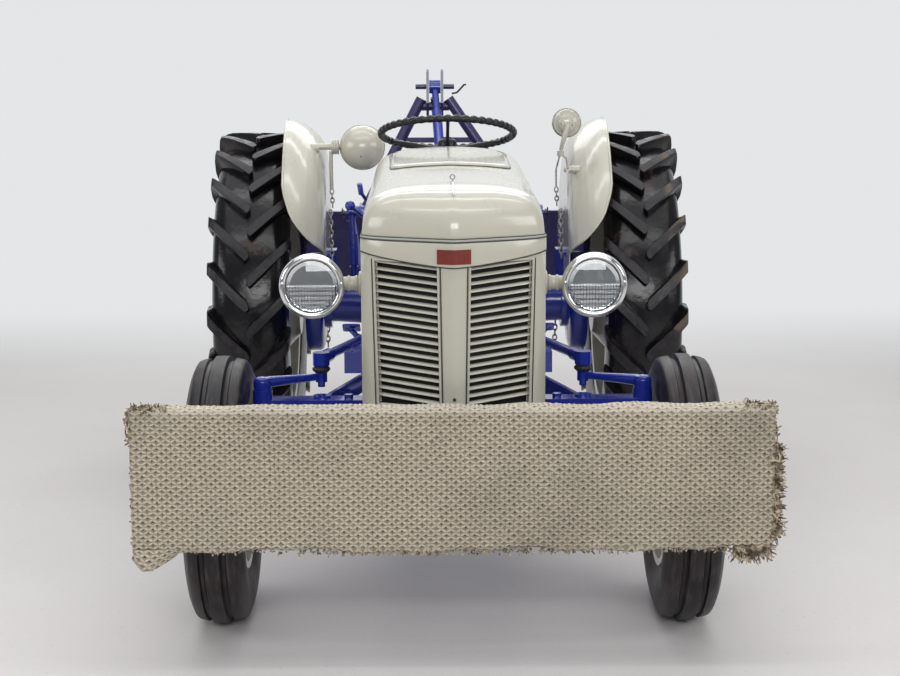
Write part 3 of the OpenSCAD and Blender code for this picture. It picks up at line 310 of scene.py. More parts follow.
def pin(radius, high, at, direction, seg):
    """A plain round boss of a radius and height, standing on a point."""
    return lathe([[POLE, 0], [radius, 0], [radius, high], [POLE, high]], np.array(at), direction, seg)


def revolved(ring, seg):
    """A closed section turned about x, from the front round: its columns are radius and x."""
    a = np.linspace(0, 2 * np.pi, seg, endpoint=False)
    r, x = ring[:, None, 0], ring[:, None, 1]
    points = np.stack([np.broadcast_to(x, (len(ring), seg)), -r * np.cos(a), r * np.sin(a)], -1)
    return Build().solid(points, grid(len(ring), seg, around=True, loop=True))


def tube(path, radius, seg=8, closed=False):
    """A round bar along a path of points; radius is one number or one for each point.

    Rings stand across the path's direction, carried along it without twist, and open ends are capped.
    """
    p = np.asarray(path, float)
    n = len(p)
    r = np.broadcast_to(np.asarray(radius, float), (n,))
    d = (np.roll(p, -1, 0) - np.roll(p, 1, 0)) if closed else np.gradient(p, axis=0)
    d /= np.linalg.norm(d, axis=1)[:, None]
    _, u, _ = frame_of(d[0])
    us = []
    for direction in d:
        u = u - direction * (u @ direction)
        u /= np.linalg.norm(u)
        us.append(u)
    us = np.array(us)
    vs = np.cross(d, us)
    a = np.linspace(0, 2 * np.pi, seg, endpoint=False)
    points = p[:, None] + r[:, None, None] * (np.cos(a)[None, :, None] * us[:, None]
                                              + np.sin(a)[None, :, None] * vs[:, None])
    return Build().solid(points, grid(n, seg, around=True, loop=True) if closed else bar(n, seg))


def rounded_box(lo, hi, r=0.003):
    """A box whose twelve edges are cut at 45 degrees by r: three points at each corner, 26 faces."""
    lo, hi = np.asarray(lo, float), np.asarray(hi, float)
    corners = np.array([[x, y, z] for x in (0, 1) for y in (0, 1) for z in (0, 1)])
    points = []
    for c in corners:
        base = np.where(c, hi, lo)
        inward = np.where(c, -r, r)
        for k in range(3):
            shift = inward.copy()
            shift[k] = 0
            points.append(base + shift)
    b = bmesh.new()
    for p in points:
        b.verts.new(p)
    bmesh.ops.convex_hull(b, input=b.verts)
    b.verts.index_update()
    made = Build().add([v.co[:] for v in b.verts], [[v.index for v in f.verts] for f in b.faces])
    b.free()
    return made


def join(target, source, kind=0):
    """Adds one Build to another, all its faces with one material number."""
    target.add(np.concatenate(source.points), source.faces, kind)
    return target


def hex_head(at, direction, width=0.019, high=0.008):
    """A bolt head: a six-sided lathe with a chamfered top and a washer under it."""
    w = width / 2 / math.cos(math.pi / 6)
    profile = [[w * 1.25, -0.002], [w * 1.25, 0.0015], [w, 0.0016], [w, high * 0.8], [w * 0.8, high],
               [0.0001, high]]
    return lathe(profile, np.asarray(at, float), direction, seg=6)


# Materials: shader maths as expressions on sockets

class Nodes:
    """A material under construction. Values are Sock or plain numbers."""

    def __init__(self, name):
        self.material = bpy.data.materials.new(name)
        self.material.use_nodes = True
        self.tree = self.material.node_tree
        self.tree.nodes.clear()
        self.out = self.tree.nodes.new("ShaderNodeOutputMaterial")
        self.shader = self.tree.nodes.new("ShaderNodeBsdfPrincipled")
        self.tree.links.new(self.shader.outputs[0], self.out.inputs[0])

    def node(self, kind, settings=None, values=None, output=0):
        """Adds a node of a kind, sets its settings and then its sockets' values or links."""
        n = self.tree.nodes.new("ShaderNode" + kind)
        for key, value in (settings or {}).items():
            if key == "stops":
                ramp = n.color_ramp
                while len(ramp.elements) < len(value):
                    ramp.elements.new(0.5)
                for e, (place, c) in zip(ramp.elements, value):
                    e.position = place
                    e.color = (*c, 1) if hasattr(c, "__len__") else (c, c, c, 1)
            else:
                setattr(n, key, value)
        for key, value in (values or {}).items():
            self.put(n.inputs[key], value)
        return Sock(self, n.outputs[output])

    def put(self, socket, value):
        """Links a Sock to a socket, or sets its plain value."""
        if isinstance(value, Sock):
            self.tree.links.new(value.socket, socket)
        elif hasattr(value, "__len__") and socket.type == "RGBA" and len(value) == 3:
            socket.default_value = (*value, 1)
        else:
            socket.default_value = value

    def set(self, **values):
        """Sets sockets of the shader; a name's underscores stand for spaces."""
        for key, value in values.items():
            self.put(self.shader.inputs[key.replace("_", " ")], value)
        return self

    def place(self, scale=(1, 1, 1), offset=(0, 0, 0)):
        """Object coordinates through a Mapping node."""
        return self.node("Mapping", {},
                         {"Vector": self.node("TexCoord", output=3), "Location": offset, "Scale": scale})

    def noise(self, scale, detail=3.0, rough=0.5, where=None, stretch=(1, 1, 1)):
        return self.node("TexNoise", {}, {"Vector": where or self.place(stretch), "Scale": scale,
                                          "Detail": detail, "Roughness": rough})

    def cells(self, scale):
        """Distance to the nearest of scattered points."""
        return self.node("TexVoronoi", {"feature": "F1"}, {"Vector": self.place(), "Scale": scale})

    def mix(self, mask, a, b):
        """Colour a where the mask is 0 and b where it is 1."""
        n = self.tree.nodes.new("ShaderNodeMix")
        n.data_type = "RGBA"
        n.clamp_factor = True
        self.put(n.inputs[0], mask)
        self.put(n.inputs[6], a)
        self.put(n.inputs[7], b)
        return Sock(self, n.outputs[2])

    def ramp(self, value, *stops):
        """A colour ramp over a value; each stop is a place and a colour."""
        return self.node("ValToRGB", {"stops": stops}, {"Fac": value})

    def between(self, value, lo, hi):
        """0 below lo, 1 above hi, smooth between."""
        n = self.tree.nodes.new("ShaderNodeMapRange")
        n.interpolation_type = "SMOOTHSTEP"
        self.put(n.inputs[0], value)
        for key, v in ((1, lo), (2, hi), (3, 0.0), (4, 1.0)):
            n.inputs[key].default_value = v
        return Sock(self, n.outputs[0])

    def bump(self, height, distance):
        """Relief of a height, 0 to 1, that stands a distance in metres."""
        b = self.node("Bump", {}, {"Height": height, "Distance": distance, "Strength": 1.0})
        self.put(self.shader.inputs["Normal"], b)
        return self

    def axes(self):
        """Object coordinates x, y and z as numbers."""
        s = self.node("SeparateXYZ", {}, {"Vector": self.node("TexCoord", output=3)})
        return s, Sock(self, s.socket.node.outputs[1]), Sock(self, s.socket.node.outputs[2])

    def done(self):
        return self.material


class Sock:
    """A socket whose arithmetic adds Math nodes."""

    def __init__(self, nodes, socket):
        self.nodes, self.socket = nodes, socket

    def maths(self, operation, other=0.0, first=None):
        """Adds a Math node of this value and another; first, where given, goes before this value."""
        n = self.nodes.tree.nodes.new("ShaderNodeMath")
        n.operation = operation
        self.nodes.put(n.inputs[0], self if first is None else first)
        self.nodes.put(n.inputs[1], other if first is None else self)
        return Sock(self.nodes, n.outputs[0])

    def __add__(self, o):
        return self.maths("ADD", o)

    def __mul__(self, o):
        return self.maths("MULTIPLY", o)

    def __sub__(self, o):
        return self.maths("SUBTRACT", o)

    def __rsub__(self, o):
        return self.maths("SUBTRACT", first=o)

    def __pow__(self, o):
        return self.maths("POWER", o)

    def __truediv__(self, o):
        return self.maths("DIVIDE", o)

    def larger(self, o):
        return self.maths("MAXIMUM", o)

    def sine(self):
        return self.maths("SINE")

    def floor(self):
        return self.maths("FLOOR")

    def fract(self):
        return self.maths("FRACT")

    def size(self):
        """The value without its sign."""
        return self.maths("ABSOLUTE")

    __radd__ = __add__
    __rmul__ = __mul__


MADE = {}


def material(make):
    """Makes a material once and gives the same one after that."""
    def found():
        if make.__name__ not in MADE:
            MADE[make.__name__] = make(Nodes(make.__name__)).done()
        return MADE[make.__name__]
    return found


def enamel(n, base, chips, gloss, dirt=0.10, dirt_colour=(0.16, 0.14, 0.11)):
    """Brushed-over enamel: faint tone drift, soft ripples, dust in patches and small chips."""
    drift = n.noise(3.0, 2.0)
    toned = n.mix(drift, tuple(c * 0.94 for c in base), tuple(min(1, c * 1.06) for c in base))
    patches = n.between(n.noise(9.0, 5.0, 0.6), 0.52, 0.78)
    specks = n.between(n.noise(260.0, 2.0, 0.5), 0.68, 0.74)
    film = n.mix(patches * dirt, toned, dirt_colour)
    spots = n.between(n.cells(38.0), 0.055, 0.035) * n.between(n.noise(6.0, 2.0), 0.56, 0.62)
    worn = n.mix(spots, film, chips)
    n.set(Base_Color=n.mix(specks * 0.12, worn, tuple(c * 0.6 for c in base)),
          Roughness=gloss + patches * (0.02 + dirt * 0.6) + specks * 0.06, Coat_Weight=0.55 - patches * dirt)
    n.set(Coat_Roughness=0.06)
    n.bump(n.noise(4.0, 0.0, 0.4) - spots * 0.3, 0.00030)
    return n


@material
def cream_enamel(n):
    return enamel(n, tuple(tint().cream), (0.30, 0.27, 0.21), 0.24, 0.10)


@material
def cream_trim(n):
    return enamel(n, tuple(c * 0.97 for c in tint().cream), (0.25, 0.22, 0.17), 0.28, 0.14)


@material
def blue_enamel(n):
    return enamel(n, tuple(tint().blue), (0.05, 0.045, 0.05), 0.22, 0.16, (0.05, 0.05, 0.075))


@material
def old_navy(n):
    return enamel(n, tuple(tint().navy), (0.09, 0.06, 0.05), 0.38, 0.35, (0.07, 0.06, 0.085))


@material
def wheel_black(n):
    rub = n.noise(60.0, 4.0)
    n.set(Base_Color=n.mix(rub, (0.006, 0.006, 0.007), (0.014, 0.013, 0.013)), Roughness=0.24 + rub * 0.2)
    return n.bump(n.noise(500.0, 2.0), 0.0002)


@material
def chrome_rim(n):
    haze = n.noise(30.0, 4.0)
    n.set(Base_Color=n.mix(haze, (0.74, 0.75, 0.77), (0.84, 0.85, 0.86)), Metallic=1.0,
          Roughness=0.05 + n.between(haze, 0.45, 0.75) * 0.12)
    return n.bump(n.noise(120.0, 1.0), 0.0001)


@material
def bright_steel(n):
    haze = n.noise(80.0, 5.0)
    n.set(Base_Color=n.mix(n.between(haze, 0.45, 0.7), (0.50, 0.49, 0.47), (0.17, 0.13, 0.10)), Metallic=0.9,
          Roughness=0.32 + haze * 0.25)
    return n.bump(n.noise(300.0, 2.0), 0.0003)


@material
def burnt_pipe(n):
    rust = n.between(n.noise(26.0, 6.0, 0.65), 0.42, 0.66)
    n.set(Base_Color=n.mix(rust, (0.035, 0.032, 0.032), (0.13, 0.058, 0.028)), Roughness=0.62 + rust * 0.25)
    return n.bump(n.noise(180.0, 4.0), 0.0006)


@material
def core_fins(n):
    """Radiator: near black between the fins, every 3 mm along z, and the tubes, every 10 mm along x, as
    painted shade of the gaps. The fins and tubes themselves are dusty grey.
    """
    # Waves in radians a metre
    fin_wave, tube_wave = 2094.0, 628.0
    x, _, z = n.axes()
    fins = (z * fin_wave).sine() * 0.5 + 0.5
    tubes = n.between((x * tube_wave).sine(), 0.55, 0.8)
    dust = n.noise(20.0, 4.0)
    # Where fins and tubes are low the colour is near black: painted shade of the gaps between them.
    n.set(Base_Color=n.mix(fins * 0.7 + tubes * 0.3, (0.006, 0.006, 0.006),
                           n.mix(dust, (0.03, 0.03, 0.03), (0.06, 0.055, 0.045))), Roughness=0.6 + dust * 0.2)
    return n.bump(fins + tubes, 0.001)


@material
def lamp_mirror(n):
    haze = n.noise(14.0, 3.0)
    n.set(Base_Color=n.mix(haze, (0.80, 0.81, 0.83), (0.90, 0.91, 0.92)), Metallic=1.0,
          Roughness=0.04 + haze * 0.05)
    return n.bump(n.noise(40.0, 1.0), 0.0003)


@material
def lamp_glass(n):
    """Pressed glass: clear above the lamp's middle, with rows of flutes below it. Their grooves are painted
    dark grey as painted shade.
    """
    p = parts()
    x, _, z = n.axes()
    z = z - p.lamp_z
    below = n.between(z, 0.0005, -0.0010)
    flute = (x * (math.pi / p.flute_w)).sine().size()
    row = (z * (math.pi / p.flute_h)).sine().size()
    # Dark grey along the flutes' grooves: painted shade.
    flute_groove_shade = n.between(flute, 0.45, 0.05) * 0.7 + n.between(row, 0.30, 0.05) * 0.6
    clear = n.mix(n.noise(90.0, 3.0), (0.89, 0.91, 0.92), (0.81, 0.84, 0.85))
    n.set(Base_Color=n.mix(below * flute_groove_shade, clear, (0.22, 0.21, 0.20)),
          Roughness=0.02 + n.noise(40.0) * 0.03 + below * 0.06, Transmission_Weight=1.0, IOR=1.45)
    return n.bump((flute + row * 0.8) * below, 0.0022)


@material
def rubber_front(n):
    """Ribbed tyre: black with brown dust in the grooves and dull, streaked ribs."""
    dust = n.between(n.noise(7.0, 5.0, 0.6), 0.45, 0.75)
    streak = n.between(n.noise(16.0, 3.0, 0.5, stretch=(6, 1, 1)), 0.45, 0.75)
    base = n.mix(dust * 0.6, tuple(c * 1.2 for c in tint().rubber), (0.034, 0.024, 0.024))
    n.set(Base_Color=n.mix(streak * 0.6, base, (0.082, 0.060, 0.060)),
          Roughness=0.40 + dust * 0.2 + streak * 0.12)
    n.set(Specular_IOR_Level=0.40)
    return n.bump(n.noise(240.0, 4.0, 0.6) + n.noise(40.0, 3.0) * 0.6, 0.0006)


@material
def rubber_rear(n):
    """Bar-lug tyre: near black and shiny, with a few smears of dried soil and rubbed brown spots."""
    dust = n.between(n.noise(6.0, 6.0, 0.62), 0.52, 0.80)
    smear = n.between(n.noise(11.0, 4.0, 0.6), 0.60, 0.76)
    base = n.mix(dust * 0.5, tuple(tint().rubber), (0.024, 0.018, 0.021))
    n.set(Base_Color=n.mix(smear * 0.55, base, (0.085, 0.045, 0.034)),
          Roughness=0.20 + dust * 0.22 + smear * 0.2)
    n.set(Specular_IOR_Level=0.42)
    return n.bump(n.noise(70.0, 3.0, 0.6) * 0.5 + n.noise(18.0, 2.0) * 1.6, 0.0012)


@material
def lug_face(n):
    """The lugs' worn faces: black with a grey-violet scuff, and torn tan ends outside on the left wheel."""
    scuff = n.between(n.noise(45.0, 5.0, 0.6), 0.40, 0.72)
    x, _, _ = n.axes()
    torn = n.between(x, 0.728, 0.752) * n.between(n.noise(9.0, 1.0), 0.42, 0.50)
    black = n.mix(scuff * 0.8, tuple(c * 1.4 for c in tint().rubber), (0.034, 0.028, 0.034))
    grain = n.mix(n.noise(190.0, 4.0, 0.65), (0.035, 0.025, 0.018), (0.230, 0.180, 0.130))
    n.set(Base_Color=n.mix(torn * 0.85, black, grain), Roughness=0.30 + scuff * 0.28 + torn * 0.3)
    n.set(Specular_IOR_Level=0.42)
    return n.bump(n.noise(120.0, 4.0, 0.6) + n.noise(30.0, 2.0) + torn * n.noise(170.0, 3.0), 0.0010)


@material
def rubber_boot(n):
    n.set(Base_Color=n.mix(n.noise(50.0), (0.012, 0.012, 0.012), (0.03, 0.028, 0.026)),
          Roughness=0.5 + n.noise(80.0) * 0.2)
    return n


@material
def board_wood(n):
    """Old plank: grain along x, grey where it has weathered."""
    grain = n.noise(14.0, 6.0, 0.6, stretch=(0.35, 6, 6))
    n.set(Base_Color=n.mix(n.between(grain, 0.3, 0.7), (0.13, 0.085, 0.05), (0.34, 0.25, 0.16)),
          Roughness=0.7 + grain * 0.2)
    return n.bump(grain, 0.0012)


@material
def loop_yarn(n):
    """Loop pile. The weave map holds x and the way along the carpet, in metres.

    In each row, loops stand side by side and lean left and right by turns: the height of one is
    sqrt(1 - (a / 0.60)^2 - (b / 0.42)^2). Where two lean apart there is a small hole, painted near black as
    painted shade. Each loop is painted darker down its sides as painted shade, and the carpet's top, above
    z 0.66, is painted paler as painted light from above.
    """
    p = parts()
    split = n.node("SeparateXYZ", {}, {"Vector": n.node("UVMap", {"uv_map": "weave"})})
    across, along = split, Sock(n, split.socket.node.outputs[1])
    drift = n.noise(26.0, 2.0) - 0.5
    shake = n.noise(33.0, 2.0, where=n.place((1, 1, 1), (3, 5, 7))) - 0.5
    u, v = across / p.loop_w + drift * 1.1, along / p.loop_h + shake * 0.9
    row = v.floor()
    shifted = u + row
    cell = shifted.floor()
    a, b = shifted - cell - 0.5, v - row - 0.5
    lean = (cell * 0.5).fract() * 4.0 - 1.0
    b2 = b - lean * a * 0.55
    left = 1.0 - (a / 0.60) ** 2.0 - (b2 / 0.42).size() ** 2.0
    high = left.larger(0.0) ** 0.5
    away = ((shifted * 0.5 + 0.5).fract() - 0.5).size() * 2.0
    # Holes between loops, near black: painted shade, weaker in places.
    hole = n.between((away ** 2.0 + (b * 0.9 + 0.22).size() ** 2.0) ** 0.5, 0.32, 0.12)
    hole = hole * (n.between(n.noise(85.0, 1.0), 0.38, 0.60) * 0.75 + 0.25)
    fibre = n.noise(700.0, 3.0, 0.65)
    tone = n.noise(210.0, 2.0)
    stain = n.between(n.noise(2.4, 4.0, 0.55), 0.46, 0.74)
    green = n.between(n.noise(3.6, 2.0), 0.52, 0.75)
    yarn = tuple(tint().yarn)
    # Loop height darkens the colour down each loop's sides: painted shade, mixed with the yarn's own random
    # tone.
    loop_shade_and_tone = high * 0.42 + fibre * 0.30 + tone * 0.34
    cloth = n.ramp(loop_shade_and_tone, (0.14, (0.12, 0.094, 0.068)), (0.36, tuple(c * 0.60 for c in yarn)),
                   (0.66, tuple(c * 0.95 for c in yarn)), (0.98, tuple(min(1, c * 1.35) for c in yarn)))
    soiled = n.mix(stain * 0.40, cloth, (0.135, 0.108, 0.080))
    tinged = n.mix(green * 0.14, soiled, (0.22, 0.24, 0.18))
    # The carpet's top, facing the roof lights, painted paler: painted light.
    _, _, z = n.axes()
    top_painted_light = n.mix(n.between(z, 0.660, 0.674) * 0.55, tinged, (0.80, 0.73, 0.60))
    n.set(Base_Color=n.mix(hole * 0.80, top_painted_light, (0.050, 0.038, 0.026)), Roughness=0.88 + fibre * 0.1)
    n.set(Sheen_Weight=0.15)
    return n.bump(high + fibre * 0.35 - hole * 0.6, 0.0032)


@material
def frayed_yarn(n):
    tone = n.noise(60.0, 4.0)
    n.set(Base_Color=n.mix(n.between(tone, 0.35, 0.65), (0.085, 0.060, 0.036), (0.56, 0.47, 0.34)),
          Roughness=0.9 - tone * 0.05)
    return n.bump(n.noise(1400.0, 2.0), 0.0006)


@material
def carpet_back(n):
    """The carpet's plain woven back: threads every 4 mm, both ways."""
    # In radians a metre
    threads = 1570.0
    x, _, z = n.axes()
    weave = (x * threads).sine() * 0.5 + (z * threads).sine() * 0.5
    n.set(Base_Color=n.mix(n.noise(30.0, 4.0), (0.20, 0.16, 0.10), (0.34, 0.28, 0.19)),
          Roughness=0.9 - n.noise(9.0) * 0.08)
    return n.bump(weave, 0.0008)


@material
def badge_red(n):
    """Bare badge: dark red enamel."""
    wear = n.noise(120.0, 4.0)
    n.set(Base_Color=n.mix(wear, tuple(tint().badge), tuple(c * 1.7 for c in tint().badge)),
          Roughness=0.3 + wear * 0.15)
    return n.bump(n.noise(200.0), 0.0002)


@material
def gap_shade(n):
    # Near black, put in gaps, grooves and a hole as painted shade.
    n.set(Base_Color=n.mix(n.noise(60.0), (0.02, 0.022, 0.024), (0.05, 0.052, 0.05)),
          Roughness=0.5 + n.noise(20.0) * 0.2)
    return n


@material
def grille_painted_shade(n):
    """Nearly black, dull sheet behind the slats: painted shade of the dark room there, with faint dust."""
    dust = n.noise(30.0, 3.0)
    n.set(Base_Color=n.mix(dust, (0.004, 0.004, 0.005), (0.012, 0.011, 0.010)), Roughness=0.8 + dust * 0.1)
    return n


@material
def seam_pale(n):
    """Rubber bead in the seam, painted over and worn to a grey blue."""
    wear = n.noise(50.0, 3.0)
    n.set(Base_Color=n.mix(wear, (0.34, 0.35, 0.33), (0.42, 0.42, 0.38)), Roughness=0.45 + wear * 0.2)
    return n


@material
def red_lens(n):
    n.set(Base_Color=n.mix(n.noise(60.0), (0.30, 0.006, 0.004), (0.42, 0.012, 0.008)),
          Roughness=0.12 + n.noise(40.0) * 0.08)
    return n


@material
def dial_face(n):
    n.set(Base_Color=n.mix(n.noise(90.0), (0.02, 0.02, 0.02), (0.05, 0.05, 0.05)),
          Roughness=0.2 + n.noise(40.0) * 0.1)
    return n


# Shapes of the bonnet, shared by the pieces that lie on it

def even(t, p):
    """0 to 1 with steps drawn in towards both ends, for a rounded outline of power 1/p."""
    return t ** p / (t ** p + (1 - t) ** p)


def arch(t):
    """A half outline: t is 0 at the right, 0.5 on top and 1 at the left. Gives x and height, 0 to 1."""
    a = np.where(t < 0.5, even(2 * np.minimum(t, 0.5), 1.6),
                 2 - even(2 * (1 - np.maximum(t, 0.5)), 1.6)) * np.pi / 2
    c, s = np.cos(a), np.sin(a)
    return np.sign(c) * np.abs(c) ** 0.50, np.abs(s) ** 0.50


def nose_plan(x):
    """Front of the bonnet in plan: y at x, a shallow V with turned corners."""
    b = body()
    k = np.minimum(1, np.abs(x) / (b.hood_w / 2))
    return -b.nose_y + (b.nose_v - 0.030) * k ** 1.1 + 0.030 * k ** 12


def hood_top(y):
    """Height of the bonnet's middle line at y."""
    b = body()
    return b.nose_top + (b.hood_back - b.nose_top) * (y - b.nose_end) / (b.hood_end - b.nose_end)


def hood_points(v, y, t, out=0.0):
    """Bonnet surface: t runs round the arch, v from 0 at the seam to 1 up the nose, and y behind it.

    Up the nose, y falls back and z rises on a rounded quarter outline of power 1/0.7.
    out is a lift off the skin.
    """
    b = body()
    v, y, t = np.broadcast_arrays(v, y, t)
    ax, az = arch(t)
    x = ax * (b.hood_w / 2 - 0.004 + out)
    full = az * (hood_top(np.maximum(y, b.nose_end)) + out - b.seam_z - 0.010 * np.abs(ax))
    rise = np.sin(np.pi / 2 * v) ** 0.7
    fall = np.cos(np.pi / 2 * v) ** 0.7
    yy = np.where(v < 1, b.nose_end - (b.nose_end - nose_plan(x) + out) * fall, y)
    return np.stack([x, yy, b.seam_z + full * np.where(v < 1, rise, 1.0)], -1)


def hood_lie(x, y, out):
    """Points on the straight part of the bonnet's top above x and y, lifted by out."""
    b = body()
    k = np.clip(np.abs(x) / (b.hood_w / 2 - 0.004), 0, 0.999)
    z = (1 - k ** 4) ** 0.25
    return np.stack([x, y, b.seam_z + z * (hood_top(y) - b.seam_z - 0.010 * k) + out], -1)


class TRACTOR_OT_bonnet(bpy.types.Operator):
    """Smooth bonnet with its nose crease, filler flap, seam bead and chrome catch"""
    bl_idname = "tractor.bonnet"
    bl_label = "Bonnet"

    def execute(self, context):
        b = body()
        t = np.linspace(0, 1, 65)
        v_rows = 1 - even(np.linspace(1, 0, 19), 1.25)[:-1]
        ys = np.concatenate([np.linspace(b.nose_end, b.step_y - 0.004, 4),
                             np.linspace(b.step_y, b.hood_end, 26)])
        v = np.concatenate([v_rows, np.ones(len(ys))])
        y = np.concatenate([np.full(len(v_rows), b.nose_end), ys])
        top = hood_points(v[:, None], y[:, None], t[None, :])
        lows = np.linspace(b.skirt_z, b.seam_z - 0.004, 6)[:, None]
        rows, cols = len(v), len(t)
        half = b.hood_w / 2 - 0.004
        left = np.stack([np.full((rows, 6), half), np.repeat(y[:, None], 6, 1), np.repeat(lows.T, rows, 0)],
                        -1)
        right = left * [-1, 1, 1]
        skin = np.concatenate([left, top, right[:, ::-1]], 1)
        n = cols + 12
        faces = grid(rows, n)
        row, col = faces[:, 0] // n, faces[:, 0] % n
        keep = (y[row] >= b.step_y - 0.001) | ((col >= 6) & (col < 5 + cols))
        shape = Build().add(skin, faces[keep])
        made = piece("bonnet_skin", shape, [cream_enamel()], "bonnet", ["bonnet_top"], 50)
        drop_loose(made.data)
        face_up(made.data, max(made.data.polygons, key=lambda f: f.center.z))
        modifier(made, "SOLIDIFY", thickness=b.sheet, offset=-1)
        self.flap(b)
        self.trim(b)
        return {"FINISHED"}

    def flap(self, b):
        """Filler flap: a lid 6 mm proud with a rolled edge, and near-black tubes round its rounded outline and
        along its middle as painted shade of the gaps.

        Its outline is a superellipse of power 7 in x and in the way back, u and w from -1 to 1.
        """
        u = np.linspace(-1, 1, 57)
        uu, ww = np.meshgrid(u, u, indexing="ij")
        far = np.maximum(np.abs(uu), np.abs(ww))
        shrink = far / np.maximum(np.abs(uu) ** 7 + np.abs(ww) ** 7, 1e-12) ** (1 / 7)
        uu, ww = uu * shrink, ww * shrink
        edge = np.clip((1 - far) * b.flap_w / 0.013, 0, 1)
        lid = self.outline(b, uu, ww, 0.0012 + 0.0062 * np.sqrt(1 - (1 - edge) ** 2))
        made = piece("filler_flap", Build().add(lid, grid(57, 57)), [cream_enamel()], "bonnet", (),
                     80)
        modifier(made, "SOLIDIFY", thickness=0.0015, offset=-1)
        a = np.linspace(0, 2 * np.pi, 160, endpoint=False)
        c, q = np.cos(a), np.sin(a)
        r = 1.006 / (np.abs(c) ** 7 + np.abs(q) ** 7) ** (1 / 7)
        # Near-black tubes round the flap and along its middle: painted shade of the gaps.
        gap_shade_line = tube(self.outline(b, c * r, q * r, 0.0006), 0.0017, 6, closed=True)
        along = np.linspace(b.flap_y - b.flap_l + 0.010, b.flap_y + b.flap_l - 0.004, 24)
        join(gap_shade_line, tube(hood_lie(np.zeros(24), along, 0.0069), 0.0012, 6))
        piece("flap_gap_shade", gap_shade_line, [gap_shade()], "bonnet", ())

    def outline(self, b, u, w, out):
        """Points of the flap from u and w: its front edge bows forward in its middle by 20 mm."""
        return hood_lie(u * b.flap_w, b.flap_y + w * b.flap_l + 0.020 * u ** 2 * (w < 0) * -w, out)

    def trim(self, b):
        """Seam: a bead between two fine near-black lines round the nose, painted shade of the gaps beside it.
        The catch above it is an eye and a bar.
        """
        x = np.linspace(-1, 1, 61) * (b.hood_w / 2 - 0.002)
        bead, shade_lines = Build(), Build()
        back = [b.nose_end, b.step_y]
        # The bead is pale; the two fine tubes above and below it are near black as painted shade of the seam's
        # gaps.
        for z, out, r, target in ((b.seam_z, 0.0004, 0.0034, bead),
                                  (b.seam_z + 0.0040, 0.0010, 0.0010, shade_lines),
                                  (b.seam_z - 0.0040, 0.0030, 0.0011, shade_lines)):
            plan = np.concatenate([[[x[0], back[1]], [x[0], back[0]]], np.stack([x, nose_plan(x)], -1),
                                   [[x[-1], back[0]], [x[-1], back[1]]]])
            path = np.stack([plan[:, 0] * (1 + out * 2),
                             plan[:, 1] - out * (np.abs(plan[:, 0]) < b.hood_w / 2 - 0.003),
                             np.full(len(plan), z)], -1)
            join(target, tube(path, r, 8))
        piece("seam_bead", bead, [seam_pale()], "bonnet", (), 60)
        piece("seam_shade_lines", shade_lines, [gap_shade()], "bonnet", ())
        v = np.array([0.55, 0.68, 0.80, 0.90, 0.98])
        line = hood_points(v, np.full(5, b.nose_end), np.full(5, 0.5), 0.0045)
        catch = tube(line, [0.0022, 0.0034, 0.0034, 0.0034, 0.0030], 10)
        a = np.linspace(0, 2 * np.pi, 20, endpoint=False)
        tip = hood_points(np.array([1.0]), np.array([b.nose_end + 0.012]), np.array([0.5]), 0.0085)[0]
        ring = tip + np.stack([0.0058 * np.cos(a), 0.0 * a, 0.0058 * np.sin(a) + 0.003], -1)
        join(catch, tube(ring, 0.0021, 8, closed=True))
        piece("bonnet_catch", catch, [chrome_rim()], "bonnet", ())


